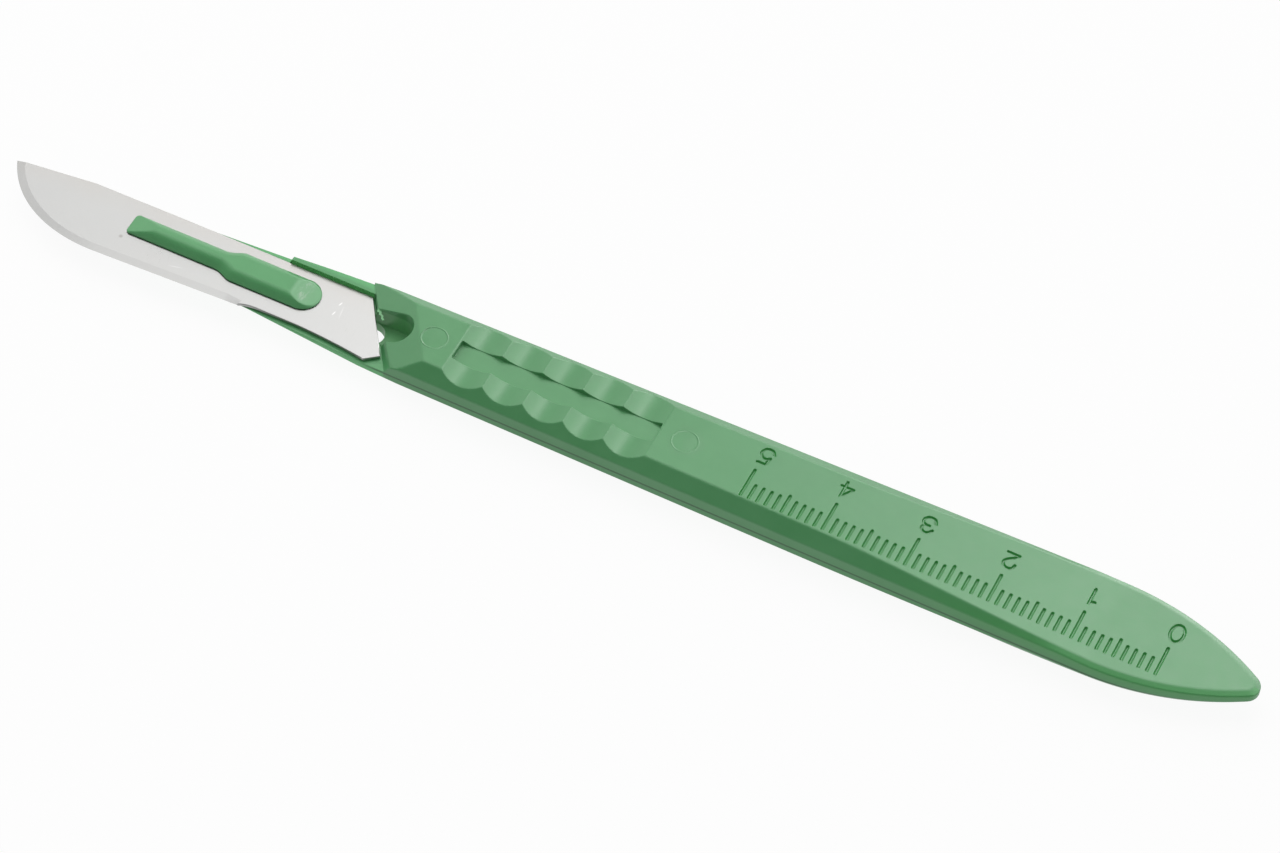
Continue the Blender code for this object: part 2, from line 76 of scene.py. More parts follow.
# Heights from the parting plane
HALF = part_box("handle")[1].z * 500
UPPER_WALL = 1.38
LOWER_WALL = 1.20
TAIL_LOWER_WALL = 0.15
LOWER_WALL_NARROWS = (56.0, BODY_LENGTH + 5.0)
BEVEL_RUN = 1.68
BEVEL_NARROWS = (55.0, 85.0)
RIM_RUN = 0.68
RIM_DROP = 0.30
WALL_DRAFT = 0.06
PARTING_STEP = 0.06
NOSE_TIP_DEPTH = 1.40
NOSE_RIM = 0.25
KEEL_START = 2.0
RIM_RISE = (-14.5, 5.0)
ARCH_START = 46.85
ARCH_RADIUS = (TAIL_START - ARCH_START) ** 2 / 2
TAIL_SLOPE = 0.022

# Shoulder, wall beside the spine and hollow behind the blade's heel
SLANT = math.tan(math.radians(32.6))
BROW_LEAN = math.tan(math.radians(36.2)) - SLANT
BROW_RUN, BROW_LEAST = 0.344, 0.09
SHOULDER_HEIGHT = 1.13
RAMP_LENGTH = 5.05
FENCE_LENGTH = 13.3
FENCE_HEIGHT = 1.10
FENCE_INNER = 3.67
FENCE_LEAN = 0.06
FENCE_TAPER = 0.024
FENCE_SLOPE, FENCE_FRONT_SLOPE = 40.0, 2.2
FENCE_CORNER = 0.65
FENCE_TOP_DROP = 0.07
RECESS_HALF = 1.95
RECESS_Y = -0.12
RECESS_FRONT = -1.05
RECESS_REAR = 2.30
RECESS_DEPTH = 1.20
RECESS_SLOPE = 28.0
HOLE_CENTRE = (-1.05, -0.08)
HOLE_RADIUS = 1.74

# Grip and ruler
GRIP_START = 9.9
SCALLOP_PITCH = 5.06
SCALLOPS = 5
GRIP_END = GRIP_START + SCALLOPS * SCALLOP_PITCH
GRIP_MIDDLE = (GRIP_START + GRIP_END) / 2
GRIP_REACH = 16.0
GRIP_STRETCH, GRIP_WIDTH = (9.2, 36.0), (-5.9, 5.9)
RIDGE_DROP = 0.03
POCKET_NEAR, POCKET_FAR = -1.55, 1.25
POCKET_END_GAP = 0.08
POCKET_CORNER = 0.18
RULER_START = 47.02
RULER_STEPS = 50
RULER_BASE = -4.09
MARK_SHORT, MARK_HALF, MARK_LONG = 2.45, 2.93, 4.40
MARK_WALL = 0.19
# How much shade is painted on the tail's near rim, and where along the handle it grows in
RIM_PAINTED_SHADE = 0.13
RIM_PAINTED_SHADE_GROWS = (60.0, 86.0)
NUMERAL_Y = 2.45
NUMERAL_SHIFT = 0.12
NUMERAL_WIDTH, NUMERAL_HEIGHT = 0.82, 0.93
NUMERAL_FINER = 0.05
NUMERAL_WALL = 0.15
NUMERAL_REACH = (1.6, 2.0)
EJECTOR_RADIUS = 1.55

# Middle of each ejector, how strong it shows, and whether it is deeper to its front or to its rear
EJECTORS = ((7.0, 1.0, -1), (38.4, 0.5, 1))

# How softly faces meet in a crease, and the radius of each outer edge and rim
BEVEL_SOFT = 0.20
RIDGE_SOFT = 0.05
RAMP_SOFT = 0.07
BROW_SOFT = 0.16
FENCE_SOFT = 0.20
RECESS_SOFT = 0.10
BOSS_SOFT = 0.42
BODY_EDGE, NOSE_EDGE, BACK_EDGE = 0.16, 0.05, 0.06
POCKET_RIM = 0.07
RECESS_RIM = 0.10
BOSS_EDGE = 0.05
PARTING_GROOVE_DEPTH, PARTING_GROOVE_HEIGHT = 0.13, 0.30

# Blade and boss
BED = 0.10
BLADE_TOP = 0.48
REAR_CLEARANCE = 0.26
BLADE_CHAMFER, REAR_CHAMFER = 0.06, 0.12
SPINE = 3.62
SPINE_START = -27.0
SPINE_KINK = (-38.6, 3.52)
TIP_FLAT = (-47.33, 2.40)
TIP = (-48.42, 2.27)
REAR_STRAIGHT_END = -3.80
REAR_CORNER = (0.63, -5.11)
RELIEF = -4.28
RELIEF_REAR = -8.5
RELIEF_FRONT = -13.2
HEEL = (-15.70, -4.81)
HEEL_CURVE = 0.8
HEEL_LEAN = 0.25
BELLY_START = (-33.8, -5.54)
BELLY_PULL = 6.3
TIP_PULL = (2.66, -5.47)
TIP_STRAIGHT = 0.5
BOSS_FRONT = -32.05
BOSS_REAR = -7.57
BOSS_NARROW = 3.00
BOSS_WIDE = 4.54
BOSS_STEP = (-20.3, -18.0)
BOSS_STEP_SHIFT = 0.4
BOSS_CORNER = 0.55
BOSS_HEIGHT = 1.52
BOSS_BEVEL = 0.89
BOSS_RIM = 0.10
BOSS_LEAD = 3.2
BOSS_LEAD_HEIGHT = 0.68
LIP = 0.30
SLOT_CLEARANCE = 0.12
STEM_FOOT = -0.15

SHIFT_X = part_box("handle")[1].x * 1000 - BODY_LENGTH
SHIFT_Z = HALF

# The photograph's camera: its place in metres, its turn in degrees and its lens in millimetres
CAMERA_PLACE = (0.1336, -0.34028, 0.44803)
CAMERA_TURN = (39.25, -3.8181, 25.6395)
CAMERA_LENS = 144.237

# The rest of the stage, in metres; the floor lies just under the handle
FLOOR_SIZE = 3.0
FLOOR_HEIGHT = -0.00002
KEY_PLACE = (-0.52, 0.58, 0.86)
KEY_SIZE = 1.8

# Steps between places along the handle's outline, in general, by the shoulder and by the grip. Then
# where rows of places stand close together: in from the long bevels' creases, behind the shoulder's
# slanted edge, at the raised wall's inner face, out from the rims of the recess and the pocket, in from
# the sides of the numerals' strokes and in from the boss's outline
OUTLINE_STEP, SHOULDER_STEP, GRIP_STEP = 0.6, 0.25, 0.16
CREASE_ROWS = (-0.22, -0.11, 0.0, 0.11, 0.22)
SHOULDER_ROWS = (-0.04, 0.0, 0.02, 0.045, 0.07, 0.095, 0.12, 0.16, 0.22, 0.30, 0.38, 0.46, 0.54, 0.62,
                 0.70, 0.78, 0.88, 4.75, 4.9, 5.0, 5.1, 5.2, 5.35)
FENCE_ROWS = (3.64, 3.65, 3.66, 3.67, 3.68, 3.695)
RECESS_ROWS = (0.14, 0.10, 0.07, 0.04, 0.015, 0.0, -0.02, -0.05, -0.08, -0.11, -0.135, -0.16)
POCKET_ROWS = (0.07, 0.045, 0.02, 0.0, -0.018, -0.036, -0.054, -0.075)
STROKE_ROWS = (0.15, 0.12, 0.09, 0.06, 0.03, 0.0, -0.03)
BOSS_ROWS = (0.004, 0.012, 0.025, 0.05, 0.12, 0.25, 0.40, 0.55, 0.65, 0.72, 0.80, 0.88, 0.96, 1.04)


def catmull(points, steps=7):
    """A smooth stroke through a few points."""
    points = [np.array(p, float) for p in points]
    ends = [2 * points[0] - points[1]] + points + [2 * points[-1] - points[-2]]
    curve = []
    for a, b, c, d in zip(ends, ends[1:], ends[2:], ends[3:]):
        for i in range(steps):
            t = i / steps
            curve.append(0.5 * (2 * b + (c - a) * t + (2 * a - 5 * b + 4 * c - d) * t ** 2
                                + (3 * b - a - 3 * c + d) * t ** 3))
    return np.array(curve + [points[-1]])


def ellipse(width, height, steps=40):
    turn = np.linspace(0, 2 * math.pi, steps + 1)
    return np.stack([width * np.cos(turn), height * np.sin(turn)], 1)


# The strokes of each numeral, upright, about its middle
NUMERALS = {
    0: [ellipse(0.92, 1.30)],
    1: [np.array([(0.22, -1.22), (0.22, 1.22)]), catmull([(0.20, 1.12), (0.0, 0.80), (-0.50, 0.68)])],
    2: [catmull([(-0.82, 0.45), (-0.60, 0.98), (-0.05, 1.20), (0.60, 0.98), (0.83, 0.42), (0.35, -0.15),
                 (-0.45, -0.68), (-0.80, -1.08)]),
        np.array([(-0.80, -1.10), (0.88, -1.10)])],
    3: [catmull([(-0.88, 0.60), (-0.45, 1.08), (0.12, 1.18), (0.64, 0.85), (0.56, 0.33), (0.25, 0.12),
                 (-0.22, 0.08)]),
        catmull([(0.25, 0.12), (0.74, -0.12), (0.86, -0.60), (0.45, -1.08), (-0.15, -1.20),
                 (-0.65, -1.00), (-0.93, -0.50)])],
    4: [np.array([(-0.83, -0.37), (0.96, -0.37)]), np.array([(0.43, -1.15), (0.43, 1.22)]),
        np.array([(-0.80, -0.37), (0.43, 1.22)])],
    5: [np.array([(0.75, 1.18), (-0.42, 1.18)]), np.array([(-0.42, 1.18), (-0.62, 0.15)]),
        catmull([(-0.66, 0.10), (-0.10, 0.38), (0.50, 0.25), (0.88, -0.38), (0.55, -1.02), (0.0, -1.20),
                 (-0.55, -1.05), (-0.92, -0.60)])],
}


# Shape of the moulding

def smooth_min(a, b, soft):
    """The lower of two heights, with their crease rounded where they are less than soft apart."""
    near = np.maximum(soft - np.abs(a - b), 0.0) / soft
    return np.minimum(a, b) - near * near * soft / 4


def smooth_max(a, b, soft):
    return -smooth_min(-a, -b, soft)


def fade(value, low, high):
    """0 below low, 1 above high, and a smooth step between them."""
    share = np.clip((value - low) / (high - low), 0.0, 1.0)
    return share * share * (3 - 2 * share)


def edge_drop(inset, radius):
    """How far a rounded edge falls below its faces, by the distance in from its side."""
    inner = np.clip(radius - inset, 0.0, radius)
    return radius - np.sqrt(radius ** 2 - inner ** 2) + 40 * np.maximum(-inset, 0.0)


def rounded_rim(height, apart, radius):
    """Rounds the rim of an opening, by the distance out from it."""
    return height - edge_drop(np.maximum(apart, 0.0), radius) * (apart < radius)


def plan_inset(x, y):
    """Distance in from the handle's plan outline, negative outside it."""
    side = np.abs(y)
    slope = (TAIL_HALF - SHOULDER_HALF) / TAIL_START
    inset = (SHOULDER_HALF + slope * x - side) / math.hypot(1, slope)
    inset = np.where(x < 0, (SHOULDER_HALF + NOSE_TAPER * x - side) / math.hypot(1, NOSE_TAPER), inset)
    at_nose = x - NOSE_CENTRE < -NOSE_TAPER * side
    inset = np.where(at_nose, NOSE_RADIUS - np.hypot(x - NOSE_CENTRE, side), inset)
    flank = TAIL_SIDE - np.hypot(x - TAIL_START, side + TAIL_SIDE - TAIL_HALF)
    inset = np.where(x > TAIL_START, flank, inset)
    at_tip = (x - TAIL_TIP_CENTRE) * (TAIL_SIDE - TAIL_HALF) > side * TAIL_REACH
    return np.where(at_tip, TAIL_TIP - np.hypot(x - TAIL_TIP_CENTRE, side), inset)


def face_height(x):
    """Height of the flat faces, which arch towards each other along the ruler."""
    arched = np.clip(x, ARCH_START, TAIL_START) - ARCH_START
    return HALF - arched ** 2 / (2 * ARCH_RADIUS) - TAIL_SLOPE * np.maximum(0.0, x - TAIL_START)


def bevel_run(x):
    return BEVEL_RUN + (RIM_RUN - BEVEL_RUN) * fade(x, *BEVEL_NARROWS)


def bevelled(x, face, wall, inset):
    """A flat face with a long bevel down to its side wall, and a softened crease between them."""
    edge = np.minimum(wall, face - RIM_DROP)
    slope = (face - edge) / bevel_run(x)
    return smooth_min(face, edge + (inset - WALL_DRAFT) * slope, BEVEL_SOFT * slope)


def with_scallops(body, x, depth):
    """Cuts the row of grip hollows into one side: the lowest of their arcs, with soft ridges."""
    chord, sag = SCALLOP_PITCH / 2, depth - RIDGE_DROP
    radius = (chord ** 2 + sag ** 2) / (2 * sag)
    height = np.full_like(x, HALF + 5.0)
    for i in range(SCALLOPS):
        across = np.clip(x - GRIP_START - (i + 0.5) * SCALLOP_PITCH, -0.99 * radius, 0.99 * radius)
        arc = HALF - depth + radius - np.sqrt(radius ** 2 - across ** 2)
        height = smooth_min(height, arc, RIDGE_SOFT)
    return np.where(np.abs(x - GRIP_MIDDLE) < GRIP_REACH, smooth_min(body, height, RIDGE_SOFT), body)


def capsule(x, y, start, end, radius):
    """Distance out from a stadium shape, negative inside it."""
    start, end = np.array(start, float), np.array(end, float)
    along = end - start
    share = ((x - start[0]) * along[0] + (y - start[1]) * along[1]) / max(along @ along, 1e-9)
    share = np.clip(share, 0.0, 1.0)
    return np.hypot(x - start[0] - share * along[0], y - start[1] - share * along[1]) - radius


def pocket_distance(x, y):
    """Distance out from the grip's pocket, negative inside it."""
    half_x = (GRIP_END - GRIP_START) / 2 - POCKET_END_GAP - POCKET_CORNER
    half_y = (POCKET_FAR - POCKET_NEAR) / 2 - POCKET_CORNER
    out_x = np.abs(x - GRIP_MIDDLE) - half_x
    out_y = np.abs(y - (POCKET_NEAR + POCKET_FAR) / 2) - half_y
    outside = np.hypot(np.maximum(out_x, 0.0), np.maximum(out_y, 0.0))
    return outside + np.minimum(np.maximum(out_x, out_y), 0.0) - POCKET_CORNER


def mark_groove(x, y, width, depth):
    """Depth of the ruler's marks, which are straight grooves with round ends."""
    index = np.clip(np.round(x - RULER_START), 0, RULER_STEPS)
    length = np.where(index % 10 == 0, MARK_LONG, np.where(index % 5 == 0, MARK_HALF, MARK_SHORT))
    radius = width / 2
    along = y - np.clip(y, RULER_BASE + radius, RULER_BASE + length - radius)
    apart = np.hypot(x - RULER_START - index, along)
    return depth * (1 - fade(apart, radius - MARK_WALL, radius))


def numeral_places():
    """Middle and digit of each numeral; the first two stand a little further back."""
    return [(RULER_START + 10 * i + NUMERAL_SHIFT + max(0.0, 0.20 - 0.12 * i), 5 - i) for i in range(6)]


def numeral_strokes(middle, digit):
    """A numeral's strokes on the face, turned to be read from the blade's side."""
    return [np.array([middle, NUMERAL_Y]) - stroke * (NUMERAL_WIDTH, NUMERAL_HEIGHT)
            for stroke in NUMERALS[digit]]


def numeral_groove(x, y, width, depth):
    """Depth of the numerals, worked out only for the places near each of them."""
    groove = np.zeros_like(x)
    for middle, digit in numeral_places():
        close = (np.abs(x - middle) < NUMERAL_REACH[0]) & (np.abs(y - NUMERAL_Y) < NUMERAL_REACH[1])
        near = np.nonzero(close)[0]
        if not len(near):
            continue
        apart = np.full(len(near), 9.0)
        for stroke in numeral_strokes(middle, digit):
            for start, end in zip(stroke, stroke[1:]):
                apart = np.minimum(apart, capsule(x[near], y[near], start, end, 0.0))
        groove[near] = depth * (1 - fade(apart, width / 2 - NUMERAL_WALL, width / 2))
    return groove


def stroke_plan(stroke, width):
    """Rows of places beside a stroke and round its ends, close together where its walls stand."""
    step = 0.055
    lengths = np.concatenate([[0.0], np.cumsum(np.hypot(*np.diff(stroke, axis=0).T))])
    steps = np.linspace(0.0, lengths[-1], max(4, int(lengths[-1] / step)))
    line = np.stack([np.interp(steps, lengths, stroke[:, i]) for i in range(2)], 1)
    way = np.gradient(line, axis=0)
    way /= np.maximum(np.hypot(way[:, 0], way[:, 1]), 1e-9)[:, None]
    across = np.stack([-way[:, 1], way[:, 0]], 1)
    rows = [line]
    turn = np.linspace(-math.pi / 2, math.pi / 2, 10)[1:-1, None]
    for out in STROKE_ROWS:
        reach = width / 2 - out
        rows += [line + across * reach, line - across * reach]
        for end, ahead, aside in ((line[0], -way[0], across[0]), (line[-1], way[-1], across[-1])):
            rows.append(end + reach * (ahead * np.cos(turn) + aside * np.sin(turn)))
    return np.concatenate(rows)


def groove_widths(sizes):
    """Widths of the ruler's marks and of the numerals' strokes, in millimetres."""
    return sizes.mark_width * 1000, sizes.mark_width * 1000 - NUMERAL_FINER


def groove_shade_share(x, y, sizes):
    """Share of a groove's depth, and a little on the tail's near rim, where shade is painted into the colour.
    """
    mark_width, numeral_width = groove_widths(sizes)
    grooves = np.maximum(mark_groove(x, y, mark_width, 1.0), numeral_groove(x, y, numeral_width, 1.0))
    run = bevel_run(x)
    rim = fade(x, *RIM_PAINTED_SHADE_GROWS) * (1 - fade(plan_inset(x, y), run - 0.25, run + 0.10)) * (y < 0)
    return np.maximum(grooves, RIM_PAINTED_SHADE * rim)


def ejector_ring(x, y):
    """The thin raised witness line of each round ejector, and the shallow dish inside it."""
    height = np.zeros_like(x)
    line_width, dish_wall = 0.06, 0.16
    for middle, strength, deeper in EJECTORS:
        apart = np.hypot(x - middle, y)
        across = deeper * (x - middle) / EJECTOR_RADIUS
        line = 0.028 + 0.030 * fade(across, 0.2, 0.9)
        height += strength * line * np.exp(-((apart - EJECTOR_RADIUS) / line_width) ** 2)
        dish = 0.020 + 0.030 * fade(across, 0.1, 1.0)
        height -= strength * dish * (1 - fade(apart, EJECTOR_RADIUS - dish_wall, EJECTOR_RADIUS))
    return height


def cut_shoulder(body, y, behind):
    """Cuts the ramp, and the steep brow above the shoulder's slanted edge."""
    brow = np.maximum(BROW_RUN - BROW_LEAN * y, BROW_LEAST)
    ramp = SHOULDER_HEIGHT + (behind - brow) * (HALF - SHOULDER_HEIGHT) / (RAMP_LENGTH - brow)
    body = smooth_min(body, ramp, RAMP_SOFT)
    body = smooth_min(body, SHOULDER_HEIGHT * behind / brow, BROW_SOFT)
    return np.maximum(body, 0.0)


def fence_height(x, y, inset):
    """Height of the raised wall beside the blade's spine, which falls off steeply on all its sides."""
    lean = FENCE_LEAN + FENCE_TAPER * np.maximum(-x, 0.0)
    inner = (y - FENCE_INNER + 0.02) * FENCE_SLOPE
    front = (x + FENCE_LENGTH + 0.30) * FENCE_FRONT_SLOPE
    fence = smooth_min(inner, front, 0.25)
    outer = FENCE_HEIGHT * (inset + 0.03) / lean
    fence = smooth_min(fence, outer, FENCE_SOFT)
    corner = FENCE_CORNER - np.hypot(np.minimum(x + FENCE_LENGTH + 0.18, FENCE_CORNER) - FENCE_CORNER,
                                     np.minimum(inset, FENCE_CORNER) - FENCE_CORNER)
    fence = smooth_min(fence, corner * 5, FENCE_SOFT)
    top = FENCE_HEIGHT - FENCE_TOP_DROP * (1 - fade(y, FENCE_INNER, 4.5))
    return smooth_min(fence, top, 0.10)


def sink_pocket(height, x, y, depth):
    """Sinks the grip's pocket, with a rounded rim and steep walls."""
    pocket = pocket_distance(x, y)
    height = rounded_rim(height, pocket, POCKET_RIM)
    floor = HALF - depth
    sunk = np.minimum(height, floor + (height - floor) * fade(pocket, -POCKET_RIM, 0.0))
    return np.where(pocket < 0, sunk, height)


def sink_recess(height, x, y, behind):
    """Sinks the recess behind the blade's heel below the parting plane."""
    recess = capsule(x, y, (RECESS_FRONT, RECESS_Y), (RECESS_REAR, RECESS_Y), RECESS_HALF)
    height = np.where(behind > 0.1, rounded_rim(height, recess, RECESS_RIM), height)
    wall = np.maximum(-RECESS_DEPTH + RECESS_SLOPE * (recess + 0.13), -RECESS_DEPTH)
    return smooth_min(height, np.where(recess > 0.2, 9.0, wall), RECESS_SOFT)


def upper_height(x, y, sizes):
    """Height of the ruled side over the parting plane, with every form moulded into it."""
    inset = plan_inset(x, y)
    behind = x + SLANT * y
    body = bevelled(x, face_height(x), UPPER_WALL, inset)
    body = with_scallops(body, x, sizes.scallop_depth * 1000)
    body = cut_shoulder(body, y, behind)
    height = np.where(behind < 0.35, smooth_max(body, fence_height(x, y, inset), 0.05), body)
    height = sink_pocket(height, x, y, sizes.pocket_depth * 1000)
    height = sink_recess(height, x, y, behind)
    mark_width, numeral_width = groove_widths(sizes)
    height = height + ejector_ring(x, y) * fade(behind, RAMP_LENGTH - 0.9, RAMP_LENGTH - 0.4)
    height = height - mark_groove(x, y, mark_width, sizes.mark_depth * 1000)
    height = height - numeral_groove(x, y, numeral_width, sizes.numeral_depth * 1000)
    return height - edge_drop(inset, NOSE_EDGE + (BODY_EDGE - NOSE_EDGE) * fade(behind, 0.0, 0.5))


def lower_depth(x, y, sizes):
    """Depth of the plain back under the parting plane."""
    inset = plan_inset(x, y) - PARTING_STEP
    share = np.clip((x + NOSE_LENGTH) / (KEEL_START + NOSE_LENGTH), 0.0, 1.0)
    face = np.minimum(face_height(x), NOSE_TIP_DEPTH + (HALF - NOSE_TIP_DEPTH) * share)
    share = np.clip((x - RIM_RISE[0]) / (RIM_RISE[1] - RIM_RISE[0]), 0.0, 1.0)
    wall = LOWER_WALL + (TAIL_LOWER_WALL - LOWER_WALL) * fade(x, *LOWER_WALL_NARROWS)
    wall = NOSE_RIM + (wall - NOSE_RIM) * share
    body = with_scallops(bevelled(x, face, wall, inset), x, sizes.scallop_depth * 1000)
    return body - edge_drop(inset, BACK_EDGE)


# Shells

DOWN = (0.0, 0.0, -1.0)


def new_object(name, data):
    item = bpy.data.objects.new(name, data)
    bpy.context.scene.collection.objects.link(item)
    return item


def turn_of(corners):
    """Twice the signed area of each triangle in plan."""
    a, b, c = corners[:, 0], corners[:, 1], corners[:, 2]
    return (b[:, 0] - a[:, 0]) * (c[:, 1] - a[:, 1]) - (b[:, 1] - a[:, 1]) * (c[:, 0] - a[:, 0])


def triangulate(places, edges, side, merge=1e-5):
    """Triangles over places in plan, anticlockwise for side 1 and clockwise for side -1.

    Returns the new places, the triangles and, for each new place, the old ones that it stands for.
    """
    made = delaunay_2d_cdt([Vector(p) for p in places.tolist()], edges, [], 1, merge)
    flat = np.array([v[:] for v in made[0]])
    faces = np.array([f for f in made[2] if len(f) == 3])
    turned = turn_of(flat[faces]) * side < 0
    faces[turned] = faces[turned][:, ::-1]
    return flat, faces, made[3]


def outward_of(ring):
    """Unit directions away from a ring that runs anticlockwise, level with it."""
    along = np.roll(ring, -1, axis=0) - np.roll(ring, 1, axis=0)
    out = np.column_stack([along[:, 1], -along[:, 0], np.zeros(len(ring))])
    return out / np.linalg.norm(out, axis=1)[:, None]


class Skin:
    """Points, triangles and corner normals of one closed shell, in millimetres."""

    def __init__(self):
        self.points, self.faces, self.normals, self.count = [], [], [], 0
        self.hollows = []

    def add_points(self, points, hollows=None):
        points = np.asarray(points, float)
        self.points.append(points)
        self.hollows.append(np.zeros(len(points)) if hollows is None else hollows)
        self.count += len(points)
        return np.arange(self.count - len(points), self.count)

    def add_faces(self, faces, normals):
        self.faces.append(np.asarray(faces))
        self.normals.append(np.asarray(normals, float))

    def drape(self, plan, height, side, hole=None, hollow=None):
        """Triangulates a plan, outside any hole, and lays it on a height function.

        side is 1 for a surface seen from above and -1 for one seen from below. Returns the shell's
        point for each place.
        """
        places = plan.places()
        flat, faces, olds = triangulate(places, plan.edges, side)
        if hole is not None:
            faces = faces[~hole(*flat[faces].mean(axis=1).T)]
        x, y = flat.T
        tiny = 0.006
        slope_x = (height(x + tiny, y) - height(x - tiny, y)) / (2 * tiny)
        slope_y = (height(x, y + tiny) - height(x, y - tiny)) / (2 * tiny)
        normal = np.stack([-slope_x, -slope_y, np.full(len(x), 1.0)], 1)
        normal /= np.linalg.norm(normal, axis=1)[:, None]
        normal[:, 2] *= side
        z = side * height(x, y)
        used = np.unique(faces)
        renumbered = np.full(len(flat), -1)
        hollows = None if hollow is None else hollow(x, y)[used]
        renumbered[used] = self.add_points(np.stack([x, y, z], 1)[used], hollows)
        self.add_faces(renumbered[faces], normal[faces])
        went = np.full(len(places), -1)
        for new, group in enumerate(olds):
            for old in group:
                went[old] = renumbered[new]
        return went

    def band(self, lower, upper, normals):
        """A closed band of triangles between two rings of points, seen from the outside of the turn."""
        after = np.roll(np.arange(len(lower)), -1)
        first = np.stack([lower, lower[after], upper[after]], 1)
        second = np.stack([lower, upper[after], upper], 1)
        normals = np.broadcast_to(normals, (len(lower), 3))
        self.add_faces(first, np.stack([normals, normals[after], normals[after]], 1))
        self.add_faces(second, np.stack([normals, normals[after], normals], 1))

    def ring(self, places, height):
        """Adds a ring of points at one height, or at one for each of its places."""
        return self.add_points(np.column_stack([places, np.broadcast_to(height, len(places))]))

    def cap(self, places, ring, side):
        """Closes a ring of points with a flat face that looks up for side 1 and down for side -1."""
        _, faces, olds = triangulate(places, ring_edges(0, len(places)), side)
        back = np.array([group[0] for group in olds])
        self.add_faces(ring[back[faces]], np.tile((0.0, 0.0, float(side)), (len(faces), 3, 1)))

    def place_of(self, indices):
        return np.concatenate(self.points)[indices]

    def finish(self, name):
        """The shell as a mesh object in the frame's own place, in metres."""
        points = np.concatenate(self.points)
        points = (points + np.array([SHIFT_X, 0.0, SHIFT_Z])) * 0.001
        faces = np.concatenate(self.faces)
        normals = np.concatenate(self.normals)
        proper = (faces[:, 0] != faces[:, 1]) & (faces[:, 1] != faces[:, 2]) & (faces[:, 2] != faces[:, 0])
        faces, normals = faces[proper], normals[proper]
        mesh = bpy.data.meshes.new(name)
        mesh.from_pydata(points.tolist(), [], faces.tolist())
        mesh.polygons.foreach_set("use_smooth", [True] * len(faces))
        mesh.normals_split_custom_set(normals.reshape(-1, 3).tolist())
        # Each point's share of painted shade, which darkens the plastic's colour
        painted_shade_shares = mesh.attributes.new("hollow", "FLOAT", "POINT")
        painted_shade_shares.data.foreach_set("value", np.concatenate(self.hollows).astype(np.float32))
        mesh.update()
        return new_object(name, mesh)


def ring_edges(start, count):
    return [(start + i, start + (i + 1) % count) for i in range(count)]


class Plan:
    """Places and fixed edges for one triangulation."""

    def __init__(self):
        self.parts, self.edges, self.count = [], [], 0

    def add(self, points, ring=False):
        points = np.asarray(points, float)
        start = self.count
        self.parts.append(points)
        self.count += len(points)
        if ring:
            self.edges += ring_edges(start, len(points))
        return start

    def add_edges(self, edges, start):
        self.edges += [(int(a) + start, int(b) + start) for a, b in edges]

    def places(self):
        return np.concatenate(self.parts)


def grid(x_range, y_range, step_x, step_y):
    """Places in rows, with every other row moved by half a step."""
    x, y = np.meshgrid(np.arange(*x_range, step_x), np.arange(*y_range, step_y))
    x[1::2] += step_x / 2
    return np.stack([x.ravel(), y.ravel()], 1)


def inside(places, margin):
    """The places that lie further in from the handle's outline than a margin."""
    return places[plan_inset(*places.T) > margin]


def behind_shoulder(places):
    """How far places lie behind the slanted edge of the shoulder, along the handle."""
    return places[:, 0] + SLANT * places[:, 1]


def circle(middle, radius, angles):
    return np.stack([middle[0] + radius * np.cos(angles), middle[1] + radius * np.sin(angles)], 1)


def in_hole(x, y, margin=0.0):
    """Whether places lie in the round hole behind the blade's heel, or closer to it than a margin."""
    return np.hypot(x - HOLE_CENTRE[0], y - HOLE_CENTRE[1]) < HOLE_RADIUS + margin


def stadium(start, end, radius, steps=28):
    """A loop with round ends about a line along the handle."""
    angle = np.linspace(-math.pi / 2, math.pi / 2, steps + 1)
    right = np.stack([end + radius * np.cos(angle), radius * np.sin(angle)], 1)
    left = np.stack([start - radius * np.cos(angle), -radius * np.sin(angle)], 1)
    far = np.stack([np.linspace(end, start, 12)[1:-1], np.full(10, radius)], 1)
    near = np.stack([np.linspace(start, end, 12)[1:-1], np.full(10, -radius)], 1)
    return np.concatenate([right, far, left, near])


def outline_ring():
    """The handle's plan outline, anticlockwise from the nose's front end, finer beside the grip."""
    turn = math.pi / 2 + math.atan(NOSE_TAPER)
    angles = np.linspace(math.pi, turn, 26)
    half = [(NOSE_CENTRE + NOSE_RADIUS * math.cos(a), NOSE_RADIUS * math.sin(a)) for a in angles]
    fence_front = -14.0
    stations = [np.arange(half[-1][0] + 0.5, fence_front, OUTLINE_STEP),
                np.arange(fence_front, 0.0, SHOULDER_STEP), np.arange(0.0, GRIP_STRETCH[0], SHOULDER_STEP),
                np.arange(*GRIP_STRETCH, GRIP_STEP), np.arange(GRIP_STRETCH[1], TAIL_START, OUTLINE_STEP)]
    for x in np.concatenate(stations):
        taper = NOSE_TAPER if x < 0 else (TAIL_HALF - SHOULDER_HALF) / TAIL_START
        half.append((x, SHOULDER_HALF + taper * x))
    end = math.atan2(TAIL_SIDE - TAIL_HALF, TAIL_REACH)
    for a in np.linspace(math.pi / 2, end, 40):
        half.append((TAIL_START + TAIL_SIDE * math.cos(a), TAIL_HALF - TAIL_SIDE + TAIL_SIDE * math.sin(a)))
    for a in np.linspace(end, 0.0, 17)[1:]:
        half.append((TAIL_TIP_CENTRE + TAIL_TIP * math.cos(a), TAIL_TIP * math.sin(a)))
    half = np.array(half)
    near = half * (1, -1)
    return np.concatenate([near, half[-2:0:-1]])


def inward(ring):
    """Unit directions in from each place of the handle's outline."""
    tiny = 0.001
    x, y = ring[:, 0], ring[:, 1]
    way = np.stack([plan_inset(x + tiny, y) - plan_inset(x - tiny, y),
                    plan_inset(x, y + tiny) - plan_inset(x, y - tiny)], 1)
    way[0] = (1.0, 0.0)
    way[np.argmax(x)] = (-1.0, 0.0)
    return way / np.linalg.norm(way, axis=1)[:, None]


# Nodes

